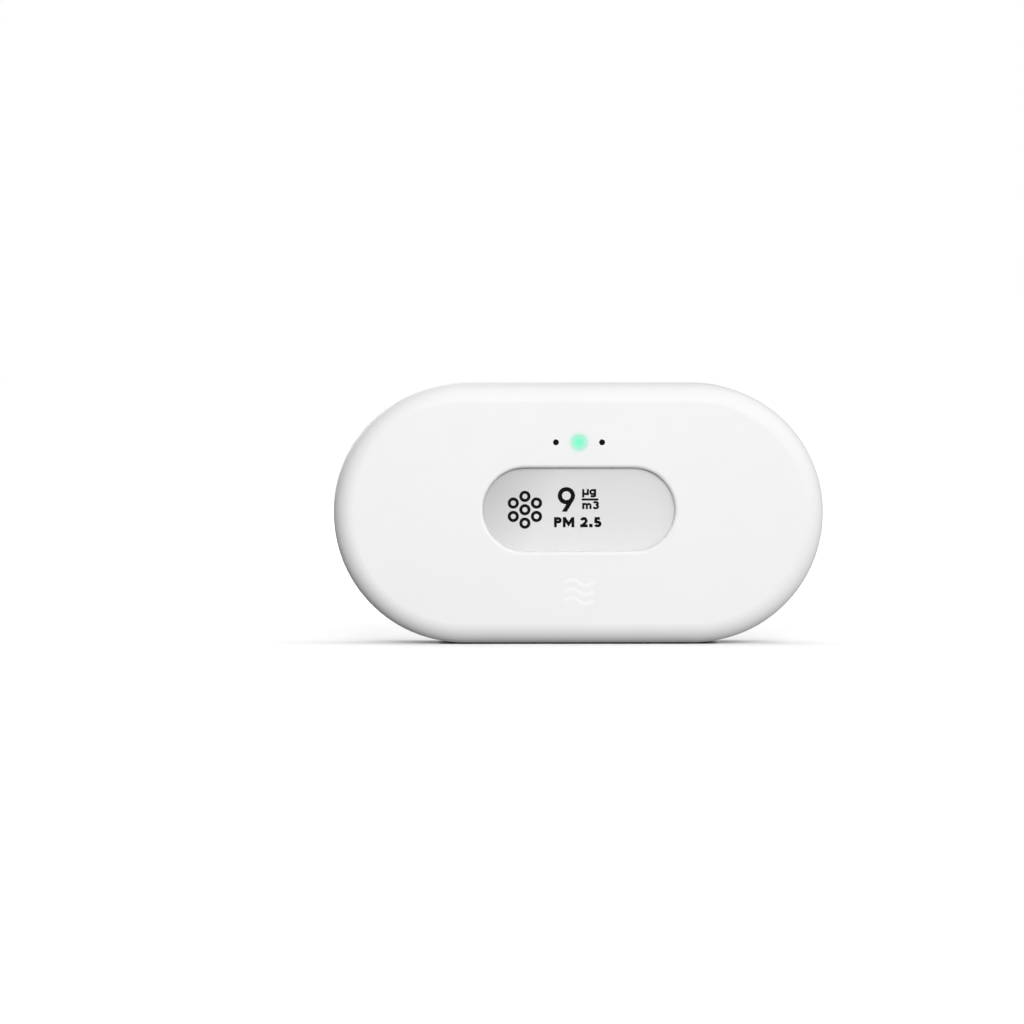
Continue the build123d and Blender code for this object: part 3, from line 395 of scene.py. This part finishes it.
def board_finish():
    """A circuit board: green mask over single copper tracks and groups of them, with tinned vias and
    painted shade in their holes.
    """
    made = Finish("green_board", 0.34, Coat_Weight=0.3, Coat_Roughness=0.2)
    across, up = made.axis(made.place, "X"), made.axis(made.place, "Z")
    flat = made.node("ShaderNodeCombineXYZ", {0: across, 1: up}).outputs[0]
    routes = made.routes(TRACK_SCALE, TRACK_W, flat)
    tracks = made.math("MAXIMUM", routes, made.buses(BUS_BLOCK, BUS_PITCH, flat))
    spots = made.cells(VIA_SCALE, flat, 0.9, voronoi_dimensions="2D")
    rings = made.step(spots, *VIA_RING, 1.0, 0.0, smooth=False)
    hole_shade = made.step(spots, *VIA_HOLE, 1.0, 0.0, smooth=False)
    covered = made.mix(tracks, made.mix(made.noise(70.0, 3.0), *MASK), MASK_ON_COPPER)
    ringed = made.mix(rings, covered, VIA_TIN)
    # Painted shade: each via's hole is near black.
    made.set(Base_Color=made.mix(hole_shade, ringed, grey(0.01)))
    made.set(Metallic=made.math("SUBTRACT", rings, hole_shade))
    height = made.math("ADD", tracks, made.math("MULTIPLY", made.noise(2600.0), 0.3))
    made.bump(height, 0.02 * MM, 0.6)
    return made


def ceramic_finish():
    """A fired white body, speckled."""
    made = Finish("white_ceramic", 0.55)
    made.set(Base_Color=made.mix(made.step(made.cells(3800.0), 0.1, 0.7), grey(0.62), grey(0.74)))
    made.bump(made.noise(5200.0, 2.0), 0.006 * MM, 0.5)
    return made


PART_GRID = (2.2 * MM, 1000 * MM, 4.0 * MM)
PART_GRID_FROM = (1.95 * MM, 0.0, 2.1 * MM)
TOP_PARTS_Z = 60 * MM
BLACK_OVER = 0.6
TAN = ((0.36, 0.25, 0.14, 1.0), (0.46, 0.34, 0.20, 1.0))


def component_finish():
    """Chip parts: each place on their grid is tan or black, and all are black near the board's top."""
    made = Finish("chip_parts", 0.45)
    place = made.vector("SNAP", made.vector("SUBTRACT", made.place, PART_GRID_FROM), PART_GRID)
    near_top = made.math("GREATER_THAN", made.axis(made.place, "Z"), TOP_PARTS_Z)
    picked = made.math("GREATER_THAN", made.chance(place), BLACK_OVER)
    black = made.math("MAXIMUM", picked, near_top)
    made.set(Base_Color=made.mix(black, made.mix(made.noise(2600.0), *TAN), grey(0.03)))
    made.bump(made.noise(5000.0), 0.006 * MM, 0.4)
    return made


FILM_LINE_PITCH = 0.8 * MM
FILM = ((0.42, 0.17, 0.02, 1.0), (0.50, 0.22, 0.03, 1.0))
FILM_ON_COPPER = (0.24, 0.09, 0.02, 1.0)


def film_finish():
    """Amber film with dark copper lines running under it."""
    made = Finish("amber_film", 0.25, Coat_Weight=0.4)
    lines = made.math("FRACT", made.math("MULTIPLY", made.axis(made.place, "Z"), 1 / FILM_LINE_PITCH))
    bands = made.step(lines, 0.42, 0.50)
    made.set(Base_Color=made.mix(bands, made.mix(made.noise(160.0), *FILM), FILM_ON_COPPER))
    made.bump(bands, 0.01 * MM, 0.5)
    return made


THREAD_PITCH = 0.35 * MM


def woven_finish():
    """A woven black mesh: threads crossing at right angles, with painted shade darker in the gaps."""
    made = Finish("black_mesh", 0.8, Specular_IOR_Level=0.25)
    turns = 2 * math.pi / THREAD_PITCH
    warp = made.math("SINE", made.math("MULTIPLY", made.axis(made.place, "X"), turns))
    weft = made.math("SINE", made.math("MULTIPLY", made.axis(made.place, "Z"), turns))
    weave = made.math("MAXIMUM", warp, weft)
    # Painted shade: the gaps between the threads are darker.
    made.set(Base_Color=made.mix(made.step(weave, -0.2, 0.8), grey(0.004), grey(0.035)))
    made.bump(weave, 0.05 * MM, 0.7)
    return made


def felt_finish():
    """Pressed white felt."""
    made = Finish("white_felt", 0.95, Specular_IOR_Level=0.2)
    hairs = made.noise(1.0, 5.0, made.stretched(2600.0, 2600.0, 900.0))
    made.set(Base_Color=made.mix(hairs, grey(0.62), grey(0.82)))
    made.bump(hairs, 0.06 * MM, 0.7)
    return made


COLUMNS_PER_M = 900.0
SILICON = ((0.020, 0.026, 0.060, 1.0), (0.10, 0.11, 0.13, 1.0))


def silicon_finish():
    """Bare silicon under clear resin: dark blue-grey with fine upright lines."""
    made = Finish("bare_silicon", 0.12, 0.6, Coat_Weight=0.5)
    columns = made.math("FRACT", made.math("MULTIPLY", made.axis(made.place, "X"), COLUMNS_PER_M))
    made.set(Base_Color=made.mix(made.step(columns, 0.90, 0.95), *SILICON))
    made.bump(made.noise(900.0), 0.002 * MM, 0.3)
    return made


WIRE_PITCH = 0.28 * MM
# The first colour is painted shade for the grooves between turns; the second is the copper.
COPPER = ((0.20, 0.06, 0.02, 1.0), (0.62, 0.27, 0.12, 1.0))


def winding_finish():
    """Enamelled copper wire, wound side by side, with painted shade in the grooves between turns."""
    made = Finish("wound_copper", 0.28, 0.9, Coat_Weight=0.4)
    turns = made.math("SINE", made.math("MULTIPLY", made.axis(made.place, "Y"), 2 * math.pi / WIRE_PITCH))
    # Painted shade: darker copper in the grooves between the turns.
    made.set(Base_Color=made.mix(made.step(turns, -0.9, 0.5), *COPPER))
    made.bump(turns, 0.08 * MM, 0.8)
    return made


WRAP = ((0.020, 0.055, 0.085, 1.0), (0.026, 0.070, 0.105, 1.0))
BAND = (0.44, 0.47, 0.50, 1.0)
NUB_L = 1.2 * MM
BAND_L = 9.0 * MM
STRIPE_GAP = 1.6 * MM
STRIPE_HALF = 0.4 * MM
WRAP_EDGE = 1.25 * MM
END_DEPTH = 2.15 * MM
BLUR = 0.05 * MM


def cell_finish(node):
    """A cell's printed wrap: dark, with a pale band and stripe near its positive end, and bare ends."""
    low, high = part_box(node)
    centre = (low + high) / 2
    side = 1.0 if CELLS.index(node) % 2 == 0 else -1.0
    made = Finish(f"wrap_{node}", 0.3, Coat_Weight=0.4, Coat_Roughness=0.12)
    along = made.math("MULTIPLY", made.math("SUBTRACT", made.axis(made.place, "Z"), centre.z), side)
    half = (high.z - low.z) / 2
    radius = (high.x - low.x) / 2
    offset = made.vector("MULTIPLY", made.vector("SUBTRACT", made.place, tuple(centre)), (1.0, 1.0, 0.0))
    reach = made.length(offset)
    wrap = made.mix(made.noise(55.0, 3.0), *WRAP)
    band = half - NUB_L - BAND_L
    banded = made.mix(made.step(along, band, band + 2 * BLUR), wrap, BAND)
    stripe = made.math("ABSOLUTE", made.math("SUBTRACT", along, band - STRIPE_GAP))
    striped = made.mix(made.step(stripe, STRIPE_HALF - BLUR, STRIPE_HALF + BLUR, 1.0, 0.0), banded, BAND)
    within = made.step(reach, radius - WRAP_EDGE - BLUR, radius - WRAP_EDGE + BLUR, 1.0, 0.0)
    end = made.step(made.math("ABSOLUTE", along), half - END_DEPTH - BLUR, half - END_DEPTH + BLUR)
    bare = made.math("MINIMUM", within, end)
    metal = made.mix(made.noise(800.0), grey(0.50), grey(0.62))
    made.set(Base_Color=made.mix(bare, striped, metal), Metallic=bare)
    made.bump(made.noise(1500.0, 2.0), 0.004 * MM, 0.3)
    return made


BLACK = ((0.010, 0.010, 0.011, 1.0), (0.018, 0.018, 0.019, 1.0))
IVORY = ((0.56, 0.50, 0.38, 1.0), (0.62, 0.56, 0.43, 1.0))
BUTTON = ((0.22, 0.225, 0.23, 1.0), (0.26, 0.265, 0.27, 1.0))
STAMPED_BRASS = ((0.48, 0.33, 0.12, 1.0), (0.62, 0.46, 0.20, 1.0))
TURNED_BRASS = ((0.50, 0.34, 0.12, 1.0), (0.64, 0.47, 0.20, 1.0))
BRONZE = ((0.26, 0.14, 0.06, 1.0), (0.38, 0.22, 0.10, 1.0))


def finishes():
    """The finish for each of the record's material slots, apart from the cells' wraps."""
    return {
        "case_white": case_finish("white_case"),
        "emblem_gloss": emblem_finish(),
        "screw_steel": screw_finish(),
        "magnet_nickel": nickel_finish(),
        "filter_black": woven_finish(),
        "filter_white": felt_finish(),
        "lens_clear": lens_finish(),
        "display_paper": paper_finish(),
        "foam_black": rubber_finish("black_foam", 1500.0, 0.08 * MM),
        "rubber_black": rubber_finish("black_rubber", 2400.0, 0.03 * MM),
        "plastic_black": moulded("black_plastic", *BLACK, 0.5),
        "window_black": window_finish(),
        "light_green": light_finish(),
        "film_amber": film_finish(),
        "connector_ivory": moulded("ivory_plastic", *IVORY, 0.5),
        "board_green": board_finish(),
        "chip_black": moulded("chip_resin", grey(0.012), grey(0.020), 0.55, 5200.0),
        "chip_clear": ceramic_finish(),
        "component_tan": component_finish(),
        "can_steel": pressed_steel("tinned_steel", 0.50, 0.62, 0.32),
        "contact_nickel": pressed_steel("plated_spring_steel", 0.46, 0.60, 0.26),
        "antenna_brass": turned_metal("stamped_brass", *STAMPED_BRASS, 0.3),
        "laser_brass": turned_metal("turned_brass", *TURNED_BRASS, 0.24),
        "bush_bronze": turned_metal("sintered_bronze", *BRONZE, 0.5),
        "coil_copper": winding_finish(),
        "detector_glass": silicon_finish(),
        "button_grey": moulded("grey_plastic", *BUTTON, 0.42),
        "display_ink": ink_finish(),
    }


def dress(table):
    """Gives every CAD node its slot's finish; the front cover and the cells have their own."""
    own = {"front_cover": front_finish()}
    own.update({node: cell_finish(node) for node in CELLS})
    for part in frame["record"]["subparts"]:
        node = part["node"]
        finish = own[node] if node in own else table[part["material_slot"]]
        materials = frame["nodes"][node].data.materials
        materials.clear()
        materials.append(finish.material)


# ---- Display artwork ----------------------------------------------------------------------------------
INK_T = 0.02 * MM
LAYER_STEP = 0.0002 * MM
ARC_STEP = math.radians(7.5)
MITRE_COSINE_MIN = 0.35


def arc(x, y, rx, ry, start, end):
    """Points along part of an ellipse, from one angle to another, in degrees."""
    first, last = math.radians(start), math.radians(end)
    count = max(2, math.ceil(abs(last - first) / ARC_STEP))
    angles = [first + (last - first) * i / count for i in range(count + 1)]
    return [(x + rx * math.cos(a), y + ry * math.sin(a)) for a in angles]


def loop(x, y, rx, ry):
    """Points all round an ellipse; the last is one step short of the first."""
    return arc(x, y, rx, ry, 0, 360 - math.degrees(ARC_STEP))


def sides(points, width, closed):
    """The left and right edges of a pen line, mitred at its corners."""
    left, right = [], []
    last = len(points) - 1
    for i, point in enumerate(points):
        before = points[i - 1] if i > 0 or closed else None
        after = points[(i + 1) % len(points)] if i < last or closed else None
        here = Vector(point)
        into = (here - Vector(before)).normalized() if before else None
        out = (Vector(after) - here).normalized() if after else None
        along = ((into or out) + (out or into)).normalized()
        across = Vector((-along.y, along.x))
        reach = width / 2 / max(MITRE_COSINE_MIN, abs(along.dot(out or into)))
        left.append(here + across * reach)
        right.append(here - across * reach)
    return left, right


class Artwork:
    """Ink on the display, drawn in millimetres from the window's middle and built as one thin mesh."""

    def __init__(self):
        self.mesh = bmesh.new()
        self.layer = 0

    def corner(self, point, depth):
        """A vertex at a place on the display, depth in front of the paper."""
        return self.mesh.verts.new((WINDOW.x + point.x * MM, PAPER_Y - depth, WINDOW.z + point.y * MM))

    def line(self, points, width, closed=False):
        """A pen line of even width. Each line is a hair thicker than the last, so crossings stay clean."""
        left, right = sides(points, width, closed)
        self.layer += 1
        top = INK_T + self.layer * LAYER_STEP
        rows = [[self.corner(p, d) for p in edge] for edge, d in
                ((left, top), (right, top), (right, 0.0), (left, 0.0))]
        count = len(points) if closed else len(points) - 1
        for i in range(count):
            j = (i + 1) % len(points)
            for k in range(4):
                m = (k + 1) % 4
                self.mesh.faces.new((rows[k][i], rows[m][i], rows[m][j], rows[k][j]))
        if not closed:
            self.mesh.faces.new([row[0] for row in reversed(rows)])
            self.mesh.faces.new([row[-1] for row in rows])

    def patch(self, points):
        """A filled flat shape."""
        self.layer += 1
        top = INK_T + self.layer * LAYER_STEP
        front, back = [[self.corner(Vector(p), d) for p in points] for d in (top, 0.0)]
        self.mesh.faces.new(front)
        self.mesh.faces.new(list(reversed(back)))
        for i in range(len(points)):
            j = (i + 1) % len(points)
            self.mesh.faces.new((front[j], front[i], back[i], back[j]))

    def piece(self, name, finish):
        """Makes the drawing an object that rides on the case."""
        bmesh.ops.recalc_face_normals(self.mesh, faces=self.mesh.faces)
        data = bpy.data.meshes.new(name)
        self.mesh.to_mesh(data)
        self.mesh.free()
        made = bpy.data.objects.new(name, data)
        bpy.context.scene.collection.objects.link(made)
        data.materials.append(finish.material)
        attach(made, BODY)


class Letter:
    """One character of the display's lettering, drawn from its lower left corner."""

    def __init__(self, art, x, y, width, height, pen):
        self.art, self.x, self.y = art, x, y
        self.w, self.h, self.pen = width, height, pen
        self.in_x = (pen / 2, width - pen / 2)
        self.in_y = (pen / 2, height - pen / 2)

    def line(self, *points, closed=False):
        """A pen line through points measured from the letter's corner."""
        self.art.line([(self.x + px, self.y + py) for px, py in points], self.pen, closed)

    def patch(self, *points):
        """A filled shape with corners measured from the letter's corner."""
        self.art.patch([(self.x + px, self.y + py) for px, py in points])

    def stem(self, x, low=0.0):
        """An upright stroke to the letter's top."""
        self.line((x, low), (x, self.h))


def letter_p(letter):
    """P: a stem and a round bowl over its upper three fifths."""
    left, right = letter.in_x
    top = letter.in_y[1]
    r = (0.62 * letter.h - letter.pen) / 2
    letter.stem(left)
    letter.line((left, top), *arc(right - r, top - r, r, r, 90, -90), (left, top - 2 * r))


def letter_m_capital(letter):
    """M: two stems and a vee between them."""
    left, right = letter.in_x
    waist = 0.30 * letter.h
    shoulder = letter.h - 0.25 * letter.pen
    letter.stem(left)
    letter.stem(right)
    letter.line((left, shoulder), (letter.w / 2, waist), (right, shoulder))


def figure_two(letter):
    """2: an arch that runs down to the left foot, and a base."""
    left, right = letter.in_x
    low, top = letter.in_y
    r = (right - left) / 2
    letter.line(*arc(letter.w / 2, top - r, r, r, 168, -38), (left + 0.25 * letter.pen, low))
    letter.line((0.0, low), (letter.w, low))


def figure_five(letter):
    """5: a top bar, a short stem and an open bowl."""
    left, right = letter.in_x
    low, top = letter.in_y
    ry = (0.66 * letter.h - letter.pen) / 2
    rx = 0.56 * (right - left)
    bowl = arc(right - rx, low + ry, rx, ry, 125, -150)
    stem_top = left + 0.10 * letter.w
    stem_foot = (left + 0.02 * letter.w, low + 1.42 * ry)
    letter.line((right - 0.02 * letter.w, top), (stem_top, top))
    letter.line((stem_top, top + letter.pen / 2), stem_foot)
    letter.line(stem_foot, *bowl)


def figure_three(letter):
    """3: two open bowls that meet at a waist."""
    left, right = letter.in_x
    low, top = letter.in_y
    waist = 0.54 * letter.h
    rx = (right - left) / 2
    upper = arc(letter.w / 2, (waist + top) / 2, 0.9 * rx, (top - waist) / 2, 160, -90)
    lower = arc(letter.w / 2, (waist + low) / 2, rx, (waist - low) / 2, 90, -160)
    letter.line(*upper)
    letter.line(*lower)


NINE_LEAN = math.radians(59)


def figure_nine(letter):
    """9: a ring with a straight tail that leaves it at a tangent and is cut off level at the foot."""
    r = (letter.w - letter.pen) / 2
    cx, cy = letter.w / 2, letter.h - letter.pen / 2 - r
    letter.line(*loop(cx, cy, r, r), closed=True)
    across = letter.pen / 2 / math.sin(NINE_LEAN)
    start_x, start_y = cx + r * math.sin(NINE_LEAN), cy - r * math.cos(NINE_LEAN)
    foot_x = start_x - start_y / math.tan(NINE_LEAN)
    foot = ((foot_x - across, 0.0), (foot_x + across, 0.0))
    letter.patch(*foot, (start_x + across, start_y), (start_x - across, start_y))


DESCENT = 0.80
HOOK_REACH = 0.62


def letter_mu(letter):
    """The micro sign: a cup between two stems, the left one dropping below the line."""
    left, right = letter.in_x
    r = (right - left) / 2
    letter.stem(left, -DESCENT)
    letter.stem(right)
    letter.line(*arc(letter.w / 2, letter.in_y[0] + r, r, r, 180, 360))


def letter_g(letter):
    """g: a round bowl with a stem that hooks back below the line."""
    left, right = letter.in_x
    rx = (right - left) / 2
    ry = (letter.h - letter.pen) / 2
    letter.line(*loop(letter.w / 2, letter.h / 2, rx, ry), closed=True)
    hook = arc(letter.w / 2, -DESCENT + HOOK_REACH, rx, HOOK_REACH - letter.pen / 2, 0, -150)
    letter.line((right, letter.h), *hook)


def letter_m_small(letter):
    """m: three stems under two arches."""
    left, right = letter.in_x
    r = (right - left) / 4
    letter.stem(left)
    for x in (left, left + 2 * r):
        letter.line(*arc(x + r, letter.in_y[1] - r, r, r, 180, 0), (x + 2 * r, 0.0))


def full_stop(letter):
    """A square dot on the line, as wide as the letter."""
    level = letter.y + letter.w / 2
    letter.art.line([(letter.x, level), (letter.x + letter.w, level)], letter.w)


ICON_X = -18.70
ICON_Y = -0.10
ICON_RING_R = 1.42
ICON_PEN = 1.06
ICON_PITCH = 4.64
FIGURE_PEN = 1.48
UNIT_PEN = 0.74
LABEL_PEN = 0.98
LABEL_Y = -6.19
LABEL_H = 3.55
BAR_LEFT = 1.00
BAR_RIGHT = 6.84
BAR_Y = 3.45

# Each character: what draws it, its lower left corner, its width and its height, in millimetres.
FIGURE = (
    (figure_nine, -7.30, -0.78, 6.00, 8.55),
)
UNIT_ABOVE = (
    (letter_mu, 1.16, 4.95, 2.36, 2.14),
    (letter_g, 3.66, 4.95, 2.36, 2.14),
)
UNIT_BELOW = (
    (letter_m_small, 1.18, 0.12, 3.24, 2.16),
    (figure_three, 4.68, 0.06, 2.36, 2.84),
)
LABEL = (
    (letter_p, -8.60, LABEL_Y, 2.66, LABEL_H),
    (letter_m_capital, -5.54, LABEL_Y, 4.00, LABEL_H),
    (figure_two, 0.44, LABEL_Y, 2.62, LABEL_H),
    (full_stop, 3.60, LABEL_Y, 1.20, LABEL_H),
    (figure_five, 5.26, LABEL_Y, 2.62, LABEL_H),
)


def lettering(art, characters, pen):
    """Draws characters with one pen, in order."""
    for draw, x, y, width, height in characters:
        draw(Letter(art, x, y, width, height, pen))


def particle_icon(finish):
    """Seven rings packed in a hexagon, a plain sign for fine dust."""
    art = Artwork()
    places = [(0.0, 0.0)]
    for i in range(6):
        turn = math.radians(30 + 60 * i)
        places.append((ICON_PITCH * math.cos(turn), ICON_PITCH * math.sin(turn)))
    for x, y in places:
        art.line(loop(ICON_X + x, ICON_Y + y, ICON_RING_R, ICON_RING_R), ICON_PEN, closed=True)
    art.piece("ink_particles", finish)


def reading(finish):
    """The reading, its unit and its label."""
    figure = Artwork()
    lettering(figure, FIGURE, FIGURE_PEN)
    figure.piece("ink_figure", finish)

    unit = Artwork()
    lettering(unit, UNIT_ABOVE, UNIT_PEN)
    unit.line([(BAR_LEFT, BAR_Y), (BAR_RIGHT, BAR_Y)], UNIT_PEN)
    lettering(unit, UNIT_BELOW, UNIT_PEN)
    unit.piece("ink_unit", finish)

    label = Artwork()
    lettering(label, LABEL, LABEL_PEN)
    label.piece("ink_label", finish)


# ---- Studio -------------------------------------------------------------------------------------------
VIEW_WIDTH = 0.3568
CAMERA_DISTANCE = 3.0
CAMERA_AZIMUTH = math.radians(1.1)
CAMERA_ELEVATION = math.radians(1.7)
CENTRE_SHIFT = 0.0229
SENSOR_MM = 36.0


def place_facing(made, place, aim):
    """Puts a light or the camera at a place and turns it to an aim."""
    made.location = place
    made.rotation_mode = "QUATERNION"
    made.rotation_quaternion = (Vector(aim) - Vector(place)).to_track_quat("-Z", "Y")
    bpy.context.scene.collection.objects.link(made)


def camera():
    """A long lens almost straight in front, a touch left and above, with the case right of centre."""
    ahead = Vector((math.sin(CAMERA_AZIMUTH), math.cos(CAMERA_AZIMUTH), 0)) * math.cos(CAMERA_ELEVATION)
    ahead.z = -math.sin(CAMERA_ELEVATION)
    right = Vector((math.cos(CAMERA_AZIMUTH), -math.sin(CAMERA_AZIMUTH), 0))
    aim = (CAD_LOW + CAD_HIGH) / 2 - right * CENTRE_SHIFT
    data = bpy.data.cameras.new("camera")
    data.sensor_width = SENSOR_MM
    data.lens = SENSOR_MM * CAMERA_DISTANCE / VIEW_WIDTH
    made = bpy.data.objects.new("camera", data)
    place_facing(made, aim - ahead * CAMERA_DISTANCE, aim)
    bpy.context.scene.camera = made


def softbox(name, place, size, power):
    """A rectangular area light at a place, turned to the case."""
    data = bpy.data.lights.new(name, "AREA")
    data.shape = "RECTANGLE"
    data.size, data.size_y = size
    data.energy = power
    place_facing(bpy.data.objects.new(name, data), place, LIGHT_AIM)


SKY_BASE = 0.05
SKY_LOBES = (
    ((0, 0, 1), 0.44),
    ((1, 0, 0), 0.66),
    ((-1, 0, 0), 0.11),
    ((0, 1, 0), 0.22),
)


def surroundings():
    """Soft light from a few broad directions. What the camera sees of the backdrop is plain white."""
    world = bpy.data.worlds.new("studio")
    bpy.context.scene.world = world
    world.use_nodes = True
    nodes, links = world.node_tree.nodes, world.node_tree.links
    nodes.clear()
    direction = nodes.new("ShaderNodeTexCoord").outputs["Generated"]
    total = None
    for towards, strength in SKY_LOBES:
        facing = nodes.new("ShaderNodeVectorMath")
        facing.operation = "DOT_PRODUCT"
        facing.inputs[1].default_value = towards
        links.new(direction, facing.inputs[0])
        lobe = nodes.new("ShaderNodeMath")
        lobe.operation = "MAXIMUM"
        lobe.inputs[1].default_value = 0.0
        links.new(facing.outputs["Value"], lobe.inputs[0])
        added = nodes.new("ShaderNodeMath")
        added.operation = "MULTIPLY_ADD"
        added.inputs[1].default_value = strength
        added.inputs[2].default_value = SKY_BASE
        links.new(lobe.outputs[0], added.inputs[0])
        if total:
            links.new(total, added.inputs[2])
        total = added.outputs[0]
    lighting = nodes.new("ShaderNodeBackground")
    lighting.inputs["Color"].default_value = grey(1.0)
    links.new(total, lighting.inputs["Strength"])
    backdrop = nodes.new("ShaderNodeBackground")
    backdrop.inputs["Color"].default_value = grey(1.0)
    chosen = nodes.new("ShaderNodeMixShader")
    links.new(nodes.new("ShaderNodeLightPath").outputs["Is Camera Ray"], chosen.inputs[0])
    links.new(lighting.outputs[0], chosen.inputs[1])
    links.new(backdrop.outputs[0], chosen.inputs[2])
    links.new(chosen.outputs[0], nodes.new("ShaderNodeOutputWorld").inputs["Surface"])


FLOOR_HALF = 6.0
FLOOR_DROP = 0.4 * MM
FLOOR_GLOW_NEAR = 0.30
FLOOR_GLOW_FAR = 0.62
GLOW_FROM = 0.10
GLOW_TO = 0.45
CONTACT_REACH = 0.0013
SHADE_REACH = 0.06
FLOOR_PALE = (grey(0.86), grey(0.88))
# The painted contact shadow's colour, where the case meets the floor.
FLOOR_CONTACT_SHADOW = grey(0.02)


def floor():
    """A pale floor that glows to paper white away from the case, and darkens softly beside it with painted
    shade and a painted contact shadow.
    """
    mesh = bmesh.new()
    bmesh.ops.create_grid(mesh, x_segments=8, y_segments=8, size=FLOOR_HALF)
    data = bpy.data.meshes.new("floor")
    mesh.to_mesh(data)
    mesh.free()
    made = bpy.data.objects.new("floor", data)
    made.location = (0, 0, CAD_LOW.z - FLOOR_DROP)
    made.visible_diffuse = False
    made.visible_glossy = False
    bpy.context.scene.collection.objects.link(made)
    paper = Finish("studio_floor", 0.9, Specular_IOR_Level=0.0)
    # Painted contact shadow: colour and glow darken where the case closes in on the floor.
    contact = paper.math("POWER", paper.openness(CONTACT_REACH), 2.0)
    pale = paper.mix(paper.noise(3.0), *FLOOR_PALE)
    spread = paper.step(paper.length(paper.place), GLOW_FROM, GLOW_TO, FLOOR_GLOW_NEAR, FLOOR_GLOW_FAR)
    # Painted shade: the glow dims where the case crowds the floor.
    glow = paper.math("MULTIPLY", paper.openness(SHADE_REACH), spread)
    paper.set(Base_Color=paper.mix(contact, FLOOR_CONTACT_SHADOW, pale))
    paper.set(Emission_Color=grey(1.0), Emission_Strength=paper.math("MULTIPLY", glow, contact))
    data.materials.append(paper.material)


LIGHT_AIM = (0.0, 0.0, 0.05)
KEY_PLACE = (0.05, -0.92, 0.29)
KEY_SIZE = (0.5, 0.4)
KEY_POWER = 7.32
BACK_PLACE = (-0.5, 1.3, 0.6)
BACK_SIZE = (1.0, 0.8)
BACK_POWER = 9.0


def studio():
    """Camera, lights, floor and view."""
    camera()
    surroundings()
    floor()
    softbox("key", KEY_PLACE, KEY_SIZE, KEY_POWER)
    softbox("back_fill", BACK_PLACE, BACK_SIZE, BACK_POWER)
    bpy.context.scene.view_settings.view_transform = "Standard"


table = finishes()
dress(table)
particle_icon(table["display_ink"])
reading(table["display_ink"])
studio()
